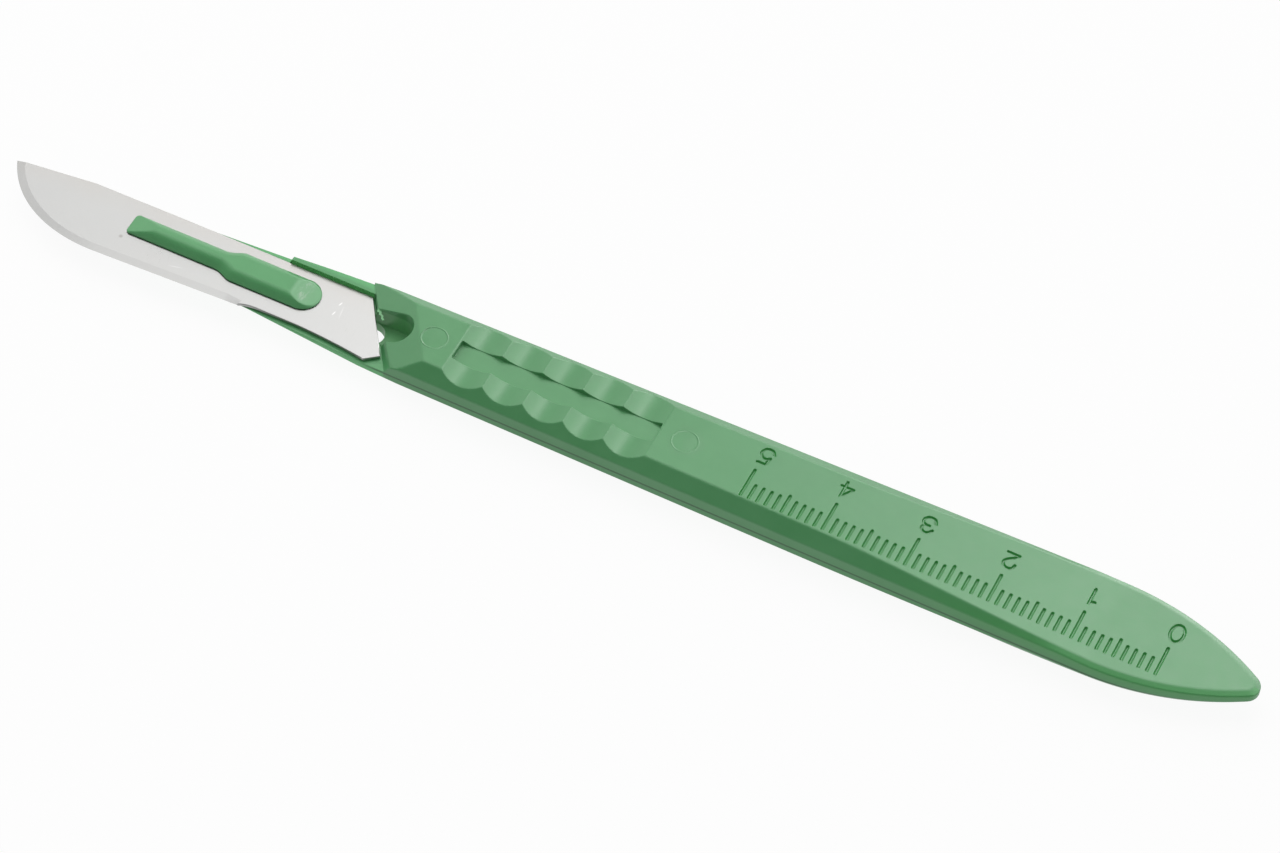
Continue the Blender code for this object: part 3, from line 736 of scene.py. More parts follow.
def add_node(tree, kind, settings=None, sockets=None):
    """A node with its settings made, and its inputs set or linked."""
    node = tree.nodes.new(kind)
    for key, value in (settings or {}).items():
        setattr(node, key, value)
    for key, value in (sockets or {}).items():
        value = value.socket if isinstance(value, Number) else value
        if isinstance(value, bpy.types.NodeSocket):
            tree.links.new(value, node.inputs[key])
        else:
            node.inputs[key].default_value = value
    return node


# Geometry nodes for the ruler: corners of each round loop, and the loops' shares of a mark's wall

LOOP_CORNERS = 16
WALL_SHARES = (-0.25, 0.0, 0.25, 0.5, 0.75, 1.0)


def mark_tree():
    """Outlines of the ruler's marks: round-ended loops along a line, longer at each fifth and tenth."""
    tree = bpy.data.node_groups.new("ruler marks", "GeometryNodeTree")
    tree.interface.new_socket("Geometry", in_out="OUTPUT", socket_type="NodeSocketGeometry")
    for name, kind in (("Count", "Int"), ("Start", "Float"), ("Base", "Float"), ("Width", "Float"),
                       ("Wall", "Float"), ("Short", "Float"), ("Half", "Float"), ("Long", "Float"),
                       ("Material", "Material")):
        tree.interface.new_socket(name, in_out="INPUT", socket_type="NodeSocket" + kind)
    entry = tree.nodes.new("NodeGroupInput")

    def add(kind, settings=None, sockets=None):
        return add_node(tree, kind, settings, sockets)

    def maths(operation, first, second):
        return add("ShaderNodeMath", {"operation": operation}, {0: first, 1: second}).outputs[0]

    size = entry.outputs
    radius = maths("MULTIPLY", size["Width"], 0.5)
    low = maths("ADD", size["Base"], radius)
    start = add("ShaderNodeCombineXYZ", None, {"X": size["Start"], "Y": low})
    line = add("GeometryNodeMeshLine", {"mode": "OFFSET"},
               {"Count": size["Count"], "Start Location": start.outputs[0], "Offset": (1.0, 0.0, 0.0)})
    index = add("GeometryNodeInputIndex").outputs[0]
    length = size["Short"]
    for every, longer in ((5.0, size["Half"]), (10.0, size["Long"])):
        rest = maths("MODULO", index, every)
        chosen = add("FunctionNodeCompare", {"data_type": "FLOAT", "operation": "LESS_THAN"},
                     {0: rest, 1: 0.5})
        switch = add("GeometryNodeSwitch", {"input_type": "FLOAT"},
                     {"Switch": chosen.outputs[0], "False": length, "True": longer})
        length = switch.outputs[0]
    stored = add("GeometryNodeStoreNamedAttribute", {"data_type": "FLOAT", "domain": "POINT"},
                 {"Geometry": line.outputs[0], "Name": "stretch",
                  "Value": maths("SUBTRACT", length, size["Width"])})
    joined = add("GeometryNodeJoinGeometry")
    for share in WALL_SHARES:
        narrower = maths("MULTIPLY", size["Wall"], share)
        loop = add("GeometryNodeMeshCircle", {"fill_type": "NONE"},
                   {"Vertices": LOOP_CORNERS, "Radius": maths("SUBTRACT", radius, narrower)})
        tree.links.new(loop.outputs[0], joined.inputs[0])
    turned = add("GeometryNodeTransform", None,
                 {"Geometry": joined.outputs[0], "Rotation": (0.0, 0.0, math.pi / LOOP_CORNERS)})
    copies = add("GeometryNodeInstanceOnPoints", None,
                 {"Points": stored.outputs[0], "Instance": turned.outputs[0]})
    real = add("GeometryNodeRealizeInstances", None, {"Geometry": copies.outputs[0]})
    split = add("ShaderNodeSeparateXYZ", None, {0: add("GeometryNodeInputPosition").outputs[0]})
    far = add("FunctionNodeCompare", {"data_type": "FLOAT", "operation": "GREATER_THAN"},
              {0: split.outputs["Y"], 1: low})
    stretch = add("GeometryNodeInputNamedAttribute", {"data_type": "FLOAT"}, {"Name": "stretch"})
    offset = add("ShaderNodeCombineXYZ", None, {"Y": stretch.outputs[0]})
    moved = add("GeometryNodeSetPosition", None,
                {"Geometry": real.outputs[0], "Selection": far.outputs[0], "Offset": offset.outputs[0]})
    last = add("GeometryNodeSetMaterial", None,
               {"Geometry": moved.outputs[0], "Material": size["Material"]})
    leave = tree.nodes.new("NodeGroupOutput")
    tree.links.new(last.outputs[0], leave.inputs[0])
    return tree


def mark_loops(width):
    """Plan points and edges of every mark's loops, taken from the geometry nodes tree."""
    tree = mark_tree()
    item = new_object("ruler_marks", bpy.data.meshes.new("ruler_marks"))
    modifier = item.modifiers.new("marks", "NODES")
    modifier.node_group = tree
    values = {"Count": RULER_STEPS + 1, "Start": RULER_START, "Base": RULER_BASE, "Width": width,
              "Wall": MARK_WALL, "Short": MARK_SHORT, "Half": MARK_HALF, "Long": MARK_LONG}
    for socket in tree.interface.items_tree:
        if socket.in_out == "INPUT" and socket.name in values:
            modifier[socket.identifier] = values[socket.name]
    item.update_tag()
    evaluated = item.evaluated_get(bpy.context.evaluated_depsgraph_get())
    mesh = bpy.data.meshes.new_from_object(evaluated)
    points = np.array([v.co[:2] for v in mesh.vertices])
    edges = [tuple(e.vertices) for e in mesh.edges]
    if len(points) < LOOP_CORNERS * RULER_STEPS:
        raise RuntimeError("the ruler's marks came out empty")
    bpy.data.meshes.remove(mesh)
    bpy.data.objects.remove(item)
    return points, edges


# Pieces

def plan_turns(plan, ring, way):
    """Close rings where the ruled side turns down to its walls, and rows beside the long bevels."""
    plan.add(ring, ring=True)
    behind = behind_shoulder(ring)
    radius = np.where(behind > 0.5, BODY_EDGE, NOSE_EDGE)
    for angle in (20, 40, 60, 78, 90):
        step = radius * (1 - math.cos(math.radians(angle)))
        plan.add(ring + way * step[:, None], ring=True)
    body = behind > 3.0
    for offset in CREASE_ROWS:
        step = bevel_run(ring[:, 0]) + WALL_DRAFT + offset
        plan.add((ring + way * step[:, None])[body])
    for step in (0.30, 0.55):
        plan.add((ring + way * step)[body])


def plan_faces(plan):
    """Grids on the ruled side, finer on the grip and round the shoulder."""
    spread = inside(grid((-NOSE_LENGTH + 0.3, BODY_LENGTH), (-TAIL_HALF, TAIL_HALF), 1.0, 0.8), 0.75)
    spread = spread[(spread[:, 0] < -5) | (spread[:, 0] > GRIP_STRETCH[1])]
    plan.add(spread[(spread[:, 0] > -4) | (np.abs(spread[:, 1]) < 3.2)])
    coarser = 1.0
    plan.add(inside(grid(GRIP_STRETCH, GRIP_WIDTH, GRIP_STEP * coarser, 0.15 * coarser), 0.40))
    shoulder = inside(grid((-4.8, GRIP_STRETCH[0]), (-5.7, 5.7), 0.25, 0.22), 0.40)
    plan.add(shoulder[(behind_shoulder(shoulder) > 0.95) & ~in_hole(*shoulder.T, 0.35)])


def plan_shoulder(plan):
    """Rows along the shoulder's slanted edge and the raised wall, and loops round the recess."""
    for behind in SHOULDER_ROWS:
        y = np.arange(-5.25, 5.3, 0.11)
        row = inside(np.stack([behind - SLANT * y, y], 1), 0.20)
        plan.add(row[~in_hole(*row.T, 0.05)])
    plan.add(inside(grid((-13.7, -1.0), (3.61, 5.4), 0.16, 0.075), 0.02))
    for y in FENCE_ROWS:
        x = np.arange(-13.6, -2.0, 0.3)
        plan.add(np.stack([x, np.full_like(x, y)], 1))
    for out in RECESS_ROWS:
        loop = stadium(RECESS_FRONT, RECESS_REAR, RECESS_HALF + out) + (0.0, RECESS_Y)
        plan.add(loop, ring=True)


def plan_markings(plan, sizes):
    """Loops round the pocket and the ruler's marks, and places on the numerals and ejector rings."""
    for out in POCKET_ROWS:
        plan.add(pocket_ring(out), ring=True)
    mark_width, numeral_width = groove_widths(sizes)
    points, edges = mark_loops(mark_width)
    plan.add_edges(edges, plan.add(points))
    for middle, digit in numeral_places():
        plan.add(grid((middle - 1.4, middle + 1.4), (NUMERAL_Y - 1.8, NUMERAL_Y + 1.8), 0.13, 0.13))
        for stroke in numeral_strokes(middle, digit):
            plan.add(stroke_plan(stroke, numeral_width))
    for middle, _, _ in EJECTORS:
        for radius in np.arange(EJECTOR_RADIUS - 0.18, EJECTOR_RADIUS + 0.17, 0.045):
            plan.add(circle((middle, 0.0), radius, np.linspace(0, 6.2, 60)))


def upper_plan(ring, way, sizes):
    plan = Plan()
    plan_turns(plan, ring, way)
    plan_faces(plan)
    plan_shoulder(plan)
    plan_markings(plan, sizes)
    return plan


def pocket_ring(out):
    """A loop round the grip's pocket, at a distance out from its edge."""
    corner = POCKET_CORNER + out
    low_x, high_x = GRIP_START + POCKET_END_GAP - out, GRIP_END - POCKET_END_GAP + out
    low_y, high_y = POCKET_NEAR - out, POCKET_FAR + out
    points = []
    corners = ((high_x, low_y, -90), (high_x, high_y, 0), (low_x, high_y, 90), (low_x, low_y, 180))
    for x, y, start in corners:
        centre_x = x - corner if x == high_x else x + corner
        centre_y = y - corner if y == high_y else y + corner
        for i in range(5):
            angle = math.radians(start + 22.5 * i)
            points.append((centre_x + corner * math.cos(angle), centre_y + corner * math.sin(angle)))
    filled = []
    for a, b in zip(points, points[1:] + points[:1]):
        count = max(1, int(math.dist(a, b) / 0.16))
        filled += [(a[0] + (b[0] - a[0]) * i / count, a[1] + (b[1] - a[1]) * i / count)
                   for i in range(count)]
    return np.array(filled)


def lower_plan(ring, way):
    """Places for the plain back."""
    plan = Plan()
    plan.add(ring + way * PARTING_STEP, ring=True)
    for angle in (30, 60, 90):
        step = PARTING_STEP + BACK_EDGE * (1 - math.cos(math.radians(angle)))
        plan.add(ring + way * step, ring=True)
    for offset in CREASE_ROWS:
        step = bevel_run(ring[:, 0]) + WALL_DRAFT + PARTING_STEP + offset
        plan.add(ring + way * step[:, None])
    plan.add(ring + way * 0.4)
    spread = inside(grid((-NOSE_LENGTH + 0.3, BODY_LENGTH), (-TAIL_HALF, TAIL_HALF), 1.1, 0.9), 0.8)
    beside_grip = (spread[:, 0] < GRIP_STRETCH[0] - 0.2) | (spread[:, 0] > GRIP_STRETCH[1])
    plan.add(spread[beside_grip & ~in_hole(*spread.T, 0.2)])
    plan.add(inside(grid(GRIP_STRETCH, GRIP_WIDTH, 0.22, 0.24), 0.40))
    return plan


def handle_skin(sizes):
    """The moulding without its boss: two draped sides, the walls between them and the round hole."""
    skin = Skin()
    ring = outline_ring()
    way = inward(ring)
    turn = np.linspace(0, 2 * math.pi, 73)[:-1]
    hole = circle(HOLE_CENTRE, HOLE_RADIUS, turn)

    plan = upper_plan(ring, way, sizes)
    hole_start = plan.add(hole, ring=True)
    went = skin.drape(plan, lambda x, y: upper_height(x, y, sizes), 1, in_hole,
                      lambda x, y: groove_shade_share(x, y, sizes))
    top_ring, top_hole = went[:len(ring)], went[hole_start:hole_start + len(hole)]

    plan = lower_plan(ring, way)
    hole_start = plan.add(hole, ring=True)
    went = skin.drape(plan, lambda x, y: lower_depth(x, y, sizes), -1, in_hole)
    low_ring, low_hole = went[:len(ring)], went[hole_start:hole_start + len(hole)]

    outward = np.concatenate([-way, np.zeros((len(ring), 1))], 1)
    lap_z = np.minimum(-0.05, skin.place_of(top_ring)[:, 2] - 0.01)
    low_z = skin.place_of(low_ring)[:, 2]
    lap = skin.ring(ring, lap_z)
    skin.band(lap, top_ring, outward)
    groove = skin.ring(ring + way * (PARTING_STEP + PARTING_GROOVE_DEPTH), lap_z)
    lip_z = np.maximum(lap_z - PARTING_GROOVE_HEIGHT, (lap_z + low_z) / 2)
    lip = skin.ring(ring + way * PARTING_STEP, lip_z)
    skin.band(groove, lap, DOWN)
    skin.band(lip, groove, outward)
    skin.band(low_ring, lip, outward)
    to_middle = np.column_stack([-np.cos(turn), -np.sin(turn), np.zeros(len(turn))])
    skin.band(top_hole, low_hole, to_middle)
    return skin


def boss_ring(inset):
    """Plan outline of the boss, or of the slot round it, moved in by an inset."""
    narrow, wide = BOSS_NARROW / 2 - inset, BOSS_WIDE / 2 - inset
    corner = max(BOSS_CORNER - inset, BOSS_CORNER / 2)
    corner_steps, end_steps = 12, 27
    front, shift = BOSS_FRONT + inset, inset * BOSS_STEP_SHIFT
    half = [(front, y) for y in np.linspace(0.0, narrow - corner, 5)[:-1]]
    for a in np.linspace(180, 90, corner_steps):
        half.append((front + corner + corner * math.cos(math.radians(a)),
                     narrow - corner + corner * math.sin(math.radians(a))))
    start, end = BOSS_STEP[0] + shift, BOSS_STEP[1] + shift
    half += [(x, narrow) for x in np.linspace(half[-1][0], start, 10)[1:-1]]
    for x in np.linspace(start, end, corner_steps):
        half.append((x, narrow + (wide - narrow) * float(fade(x, start, end))))
    centre = BOSS_REAR - BOSS_WIDE / 2
    half += [(x, wide) for x in np.linspace(end, centre, 10)[1:-1]]
    for a in np.linspace(90, 0, end_steps):
        half.append((centre + wide * math.cos(math.radians(a)), wide * math.sin(math.radians(a))))
    half = np.array(half)
    return np.concatenate([half * (1, -1), half[-2:0:-1]])


def polygon_inset(x, y, ring):
    """Distance in from a closed outline, negative outside it."""
    nearest = np.full(len(x), 99.0)
    crossings = np.zeros(len(x), int)
    for (ax, ay), (bx, by) in zip(ring, np.roll(ring, -1, axis=0)):
        share = ((x - ax) * (bx - ax) + (y - ay) * (by - ay)) / max((bx - ax) ** 2 + (by - ay) ** 2, 1e-12)
        share = np.clip(share, 0.0, 1.0)
        nearest = np.minimum(nearest, np.hypot(x - ax - share * (bx - ax), y - ay - share * (by - ay)))
        if ay != by:
            crossings += ((ay > y) != (by > y)) & (x < (bx - ax) * (y - ay) / (by - ay) + ax)
    return np.where(crossings % 2 == 1, nearest, -nearest)


def boss_skin(skin):
    """The bevelled cap with its ramped ends, over a stem that goes down into the nose."""
    ring = boss_ring(0.0)
    underside = BLADE_TOP + BED
    rise = (BOSS_HEIGHT - BOSS_LEAD_HEIGHT) / BOSS_LEAD

    def height(x, y):
        inset = polygon_inset(x, y, ring)
        cap = underside + BOSS_RIM + inset * (BOSS_HEIGHT - underside - BOSS_RIM) / BOSS_BEVEL
        cap = smooth_min(cap, BOSS_HEIGHT, BOSS_SOFT)
        ends = np.minimum(x - BOSS_FRONT, BOSS_REAR - x)
        cap = smooth_min(cap, BOSS_LEAD_HEIGHT + rise * ends, 0.10)
        return np.maximum(cap - edge_drop(inset, BOSS_EDGE), underside + 0.01 + 0 * x)

    plan = Plan()
    plan.add(ring, ring=True)
    # The rows stand a hair aside, so that none of their places falls on the outline itself
    tiny = 1e-4
    for inset in BOSS_ROWS:
        plan.add(boss_ring(inset) + tiny)
    flat = grid((BOSS_FRONT, BOSS_REAR), (-BOSS_WIDE / 2 - 0.03, BOSS_WIDE / 2 + 0.03), 0.22, 0.2)
    plan.add(flat[polygon_inset(*flat.T, ring) > 0.08] + tiny)
    top = skin.drape(plan, height, 1)[:len(ring)]
    stem = boss_ring(LIP + SLOT_CLEARANCE)
    outward = outward_of(ring)
    rim = skin.ring(ring, underside)
    neck = skin.ring(stem, underside)
    foot = skin.ring(stem, STEM_FOOT)
    skin.band(rim, top, outward)
    skin.band(neck, rim, DOWN)
    skin.band(foot, neck, outward)
    skin.cap(stem, foot, -1)


# The scrap's outline, torn and so drawn corner by corner, the height of its front end, how steeply it
# falls from there and how thick it is
SCRAP = ((-1.12, 1.90), (-1.00, 1.42), (-0.78, 1.50), (-0.62, 1.18), (-0.35, 1.16), (-0.18, 0.86),
         (0.12, 0.62), (0.28, 0.80), (0.02, 1.02), (-0.12, 1.30), (-0.40, 1.42), (-0.52, 1.66), (-0.72, 1.92))
SCRAP_TOP = 1.06
SCRAP_FALL = 0.10
SCRAP_THICKNESS = 0.11


def scrap_skin(skin):
    """A torn scrap of moulding flash at the front corner of the hollow behind the blade."""
    scrap = np.array(SCRAP)
    level = SCRAP_TOP - SCRAP_FALL * (scrap[:, 0] + 1.1)
    top = skin.ring(scrap, level)
    foot = skin.ring(scrap, level - SCRAP_THICKNESS)
    skin.band(foot, top, outward_of(scrap))
    skin.cap(scrap, top, 1)
    skin.cap(scrap, foot, -1)


def bezier(controls, steps):
    """Places along the curve that a few controls pull into shape."""
    points = []
    for share in np.linspace(0.0, 1.0, steps + 1):
        level = [np.array(p, float) for p in controls]
        while len(level) > 1:
            level = [a + (b - a) * share for a, b in zip(level, level[1:])]
        points.append(tuple(level[0]))
    return points


def blade_lines():
    """The blade's cutting edge from heel to tip, and its back from tip to heel."""
    along = np.array(BELLY_START) - np.array(HEEL)
    along = along / np.linalg.norm(along)
    controls = [BELLY_START, tuple(np.array(BELLY_START) + along * BELLY_PULL),
                (TIP[0] + TIP_PULL[0], TIP[1] + TIP_PULL[1]), TIP]
    straight = [tuple(p) for p in np.linspace(HEEL, BELLY_START, 12)[:-1]]
    edge = np.array(straight + bezier(controls, 90))
    rear_x = -REAR_CLEARANCE - SLANT * SPINE
    end_x = -REAR_CLEARANCE - SLANT * REAR_STRAIGHT_END
    back = [TIP_FLAT, SPINE_KINK, (SPINE_START, SPINE), (rear_x, SPINE), (end_x, REAR_STRAIGHT_END)]
    bend = ((REAR_CORNER[0] + RELIEF_REAR) / 2, RELIEF - (RELIEF - REAR_CORNER[1]) / 6)
    back += bezier([REAR_CORNER, bend, (RELIEF_REAR, RELIEF)], 24)
    back += bezier([(RELIEF_FRONT, RELIEF), (HEEL[0] + HEEL_CURVE, RELIEF), HEEL], 16)
    return edge, np.array(back)


def side_step(line):
    """A unit step to the left of a line's direction at each of its points."""
    way = np.gradient(line, axis=0)
    way /= np.linalg.norm(way, axis=1)[:, None]
    return np.stack([-way[:, 1], way[:, 0]], 1)


def ground_line(edge, width):
    """Inner line of the ground band, which runs straight into the flat at the tip."""
    inner = edge - side_step(edge) * width
    inner[0] = (edge[0][0] + HEEL_LEAN, edge[0][1] + width * 0.75)
    inner[-1] = TIP_FLAT
    near_tip = np.hypot(*(inner - inner[-1]).T) <= TIP_STRAIGHT
    near_tip[0] = False
    last_kept = np.nonzero(~near_tip)[0][-1]
    for i in np.nonzero(near_tip[:-1])[0]:
        share = (i - last_kept) / (len(inner) - 1 - last_kept)
        inner[i] = inner[last_kept] + (inner[-1] - inner[last_kept]) * share
    return inner


def add_corners(builder, places, z):
    return [builder.verts.new((x, y, z)) for x, y in places]


def add_strip(builder, first, second):
    """Faces between two lines of corners, without repeated corners in any of them."""
    for i in range(len(first) - 1):
        kept = []
        for corner in (first[i], first[i + 1], second[i + 1], second[i]):
            if corner not in kept:
                kept.append(corner)
        if len(kept) > 2:
            builder.faces.new(kept)


def add_flat(builder, level, inner, slot, z, side):
    """One flat face of the blade. Returns its corners by the back, by the ground band and by the slot."""
    loop = len(level) + len(inner) - 2
    edges = ring_edges(0, loop) + ring_edges(loop, len(slot))
    flat, faces, olds = triangulate(np.concatenate([level[:-1], inner[:-1], slot]), edges, side, 1e-6)
    corners = add_corners(builder, flat, z)
    for face in faces[polygon_inset(*flat[faces].mean(axis=1).T, slot) <= 0]:
        builder.faces.new([corners[i] for i in face])
    went = {old: corners[new] for new, group in enumerate(olds) for old in group}
    kept = [went[i] for i in range(loop + len(slot))]
    by_back, by_band = kept[:len(level) - 1], kept[len(level) - 1:loop]
    return by_back + by_band[:1], by_band + by_back[:1], kept[loop:]


def blade_object(name, sizes):
    """Blade with flat faces, a ground band from each face to the edge, and broken corners."""
    edge, back = blade_lines()
    inner = ground_line(edge, sizes.grind_width * 1000)
    reach = np.full(len(back), BLADE_CHAMFER)
    # The two ends of the slanted rear edge
    reach[3:5] = REAR_CHAMFER
    level = back - side_step(back) * reach[:, None]
    level[0] = TIP_FLAT
    slot = boss_ring(LIP)
    builder = bmesh.new()
    edge_corners = add_corners(builder, edge, (BED + BLADE_TOP) / 2)
    sides = []
    for z, side in ((BLADE_TOP, 1), (BED, -1)):
        by_back, by_band, by_slot = add_flat(builder, level, inner, slot, z, side)
        back_corners = add_corners(builder, back[1:-1], z - side * BLADE_CHAMFER)
        back_corners = [by_back[0]] + back_corners + [edge_corners[0]]
        for strip in ((by_back, back_corners), (by_band, edge_corners)):
            add_strip(builder, *strip[::side])
        sides.append((back_corners, by_slot + by_slot[:1]))
    upper, lower = sides
    add_strip(builder, upper[0], lower[0])
    builder.faces.new((upper[0][0], lower[0][0], edge_corners[-1]))
    add_strip(builder, upper[1], lower[1])
    bmesh.ops.recalc_face_normals(builder, faces=builder.faces)
    mesh = bpy.data.meshes.new(name)
    builder.to_mesh(mesh)
    builder.free()
    mesh.transform(Matrix.Scale(0.001, 4) @ Matrix.Translation((SHIFT_X, 0.0, SHIFT_Z)))
    return new_object(name, mesh)


# Materials

class Number:
    """A shader value that works in Python expressions, each of which adds its own Math node."""

    def __init__(self, maker, socket):
        self.maker, self.socket = maker, socket

    def maths(self, operation, *others, clamp=False):
        sockets = {0: self}
        sockets.update({i + 1: other for i, other in enumerate(others)})
        node = self.maker.add("ShaderNodeMath", {"operation": operation, "use_clamp": clamp}, sockets)
        return Number(self.maker, node.outputs[0])

    def __add__(self, other):
        return self.maths("ADD", other)

    def __sub__(self, other):
        return self.maths("SUBTRACT", other)

    def __mul__(self, other):
        return self.maths("MULTIPLY", other)

    def __rsub__(self, other):
        node = self.maker.add("ShaderNodeMath", {"operation": "SUBTRACT"}, {0: other, 1: self})
        return Number(self.maker, node.outputs[0])

    __radd__ = __add__
    __rmul__ = __mul__

    def __abs__(self):
        return self.maths("ABSOLUTE")

    def squared(self):
        return self.maths("POWER", 2.0)

    def fade(self, low, high):
        """0 below low, 1 above high, with a smooth step between them."""
        node = self.maker.add("ShaderNodeMapRange", {"interpolation_type": "SMOOTHSTEP"},
                              {"Value": self, "From Min": low, "From Max": high})
        return Number(self.maker, node.outputs[0])


class Maker:
    """Builds the nodes of one material, or of the world."""

    def __init__(self, name, library=None):
        self.material = (bpy.data.materials if library is None else library).new(name)
        self.material.use_nodes = True
        self.tree = self.material.node_tree
        self.tree.nodes.clear()

    def add(self, kind, settings=None, sockets=None):
        return add_node(self.tree, kind, settings, sockets)

    def place(self):
        """Object coordinates, as a vector and in millimetres from the shoulder and parting plane."""
        vector = self.add("ShaderNodeTexCoord").outputs["Object"]
        split = self.add("ShaderNodeSeparateXYZ", None, {0: vector})
        x, y, z = (Number(self, split.outputs[i]) * 1000.0 for i in range(3))
        return vector, (x - SHIFT_X, y, z - SHIFT_Z)

    def noise(self, vector, scale, detail=2.0, roughness=0.5):
        node = self.add("ShaderNodeTexNoise", None, {"Vector": vector, "Scale": scale, "Detail": detail,
                                                     "Roughness": roughness})
        return Number(self, node.outputs[0])

    def streaks(self, vector, scale, detail=2.0, roughness=0.5, turn=0.0):
        """Noise drawn out by its own scale on each axis."""
        mapped = self.add("ShaderNodeMapping", None,
                          {"Vector": vector, "Scale": scale, "Rotation": (0.0, 0.0, turn)})
        return self.noise(mapped.outputs[0], 1.0, detail, roughness)

    def mix(self, factor, first, second):
        node = self.add("ShaderNodeMix", {"data_type": "RGBA"}, {0: factor, 6: first, 7: second})
        return node.outputs[2]

    def finish(self, shader):
        self.add("ShaderNodeOutputMaterial", None, {"Surface": shader.outputs[0]})
        return self.material


def tinted(colour, *shares):
    """A colour with its red, green and blue changed by one share, or by one each."""
    shares = shares if len(shares) == 3 else shares * 3
    return tuple(min(1.0, c * share) for c, share in zip(colour, shares)) + (1.0,)


def plastic_material(looks):
    """Moulded green plastic: slightly uneven colour and fine matt grain, with painted shade in its grooves,
    its parting groove, the raised wall's inner face and the tail's near rim, and painted light in front of
    the shoulder, in the recess and as a highlight on the boss's rear end.
    """
    make = Maker("handle_plastic")
    vector, (x, y, z) = make.place()
    green = tuple(looks.plastic_colour)
    milky = tuple(c + (0.60 - c) * 0.09 for c in green[:3]) + (1.0,)
    # Lighter green painted into the recess as light
    recess_light_colour = (0.165, 0.43, 0.19, 1.0)
    # Pale colour of the painted highlight on the boss's rear end
    pale_highlight = (0.62, 0.70, 0.62, 1.0)
    cloud = make.noise(vector, 160.0, 3.0, 0.55).fade(0.35, 0.65)
    mottle = make.noise(vector, 700.0).fade(0.30, 0.70)
    base = make.mix(cloud * 0.35 + mottle * 0.05, tinted(green, 0.80), milky)
    base = make.mix(0.55, base, green)

    # Painted light: lighter in front of the shoulder, fully on the raised wall's top and far side and on the
    # nose's walls below the parting plane, standing in for light from the floor filling the shade there
    in_front = 1.0 - (x + y * SLANT).fade(-0.25, 0.15)
    side = (y.fade(3.80, 4.40) + 1.0 - z.fade(-0.06, 0.0)).maths("MINIMUM", 1.0)
    base = make.mix(in_front * (0.35 + side * 0.65), base, tinted(green, 1.45))

    # Painted light: the recess and the wall of its round hole are lighter and greener than their shade
    recess_painted_light = (1.0 - abs(x - 0.7).fade(3.7, 4.3)) * (1.0 - abs(y).fade(2.0, 2.4))
    recess_painted_light = recess_painted_light * z.fade(-1.40, -1.30) * (1.0 - z.fade(0.9, 1.3))
    from_hole = (x - HOLE_CENTRE[0]).squared() + (y - HOLE_CENTRE[1]).squared()
    recess_painted_light = recess_painted_light.maths("MAXIMUM", 1.0 - from_hole.fade(3.06, 3.20))
    base = make.mix(recess_painted_light * 0.8, base, recess_light_colour)

    # Painted shade: the parting groove round the body is darker
    parting_groove_shade = (1.0 - abs(z + 0.23).fade(0.12, 0.17)) * abs(y).fade(2.4, 2.8) * x.fade(-0.5, 3.0)
    base = make.mix(parting_groove_shade * 0.85, base, tinted(green, 0.35))

    # Painted shade: the walls of the marks and numerals, a little of their floors, the tail's near rim and
    # the raised wall's inner face are darker and more saturated green
    shade_share = Number(make, make.add("ShaderNodeAttribute", {"attribute_name": "hollow"}).outputs["Fac"])
    wall = in_front * z.fade(0.02, 0.1) * y.fade(3.50, 3.55) * (1.0 - y.fade(3.70, 3.76))
    wall = (shade_share * (1.0 - shade_share) * 4.0 + shade_share * 0.10 + wall).maths("MINIMUM", 1.0)
    base = make.mix(wall, base, tinted(green, 0.66, 1.08, 0.62))

    # Painted highlight: pale streaks on the top of the boss's rear end
    highlight_patch = 1.0 - ((x + 9.1).squared() * 0.8 + y.squared() * 0.45).fade(0.2, 1.6)
    highlight_streaks = make.streaks(vector, (3000.0, 900.0, 900.0), 3.0, 0.6, 0.5).fade(0.42, 0.72)
    base = make.mix(highlight_patch * z.fade(0.9, 1.2) * (0.05 + highlight_streaks * 0.42), base, pale_highlight)

    grain = make.noise(vector, 2400.0)
    flow = make.streaks(vector, (90.0, 900.0, 900.0))
    bump = make.add("ShaderNodeBump", None, {"Height": grain * 0.0012 + flow * 0.010,
                                             "Strength": 0.55, "Distance": 0.001})
    rough = looks.plastic_roughness + (mottle - 0.5) * 0.04 + (grain - 0.5) * 0.04 + wall * 0.20
    shader = make.add("ShaderNodeBsdfPrincipled", None, {
        "Base Color": base, "Roughness": rough, "Normal": bump.outputs[0], "IOR": 1.58})
    return make.finish(shader)


# Scratches of the blade: place, turn in degrees and half length
SCRATCHES = ((-5.35, 0.87, 75, 0.40), (-5.40, -0.72, 80, 0.45), (-4.70, -0.20, 100, 1.30),
             (-24.5, -3.3, 15, 1.10))


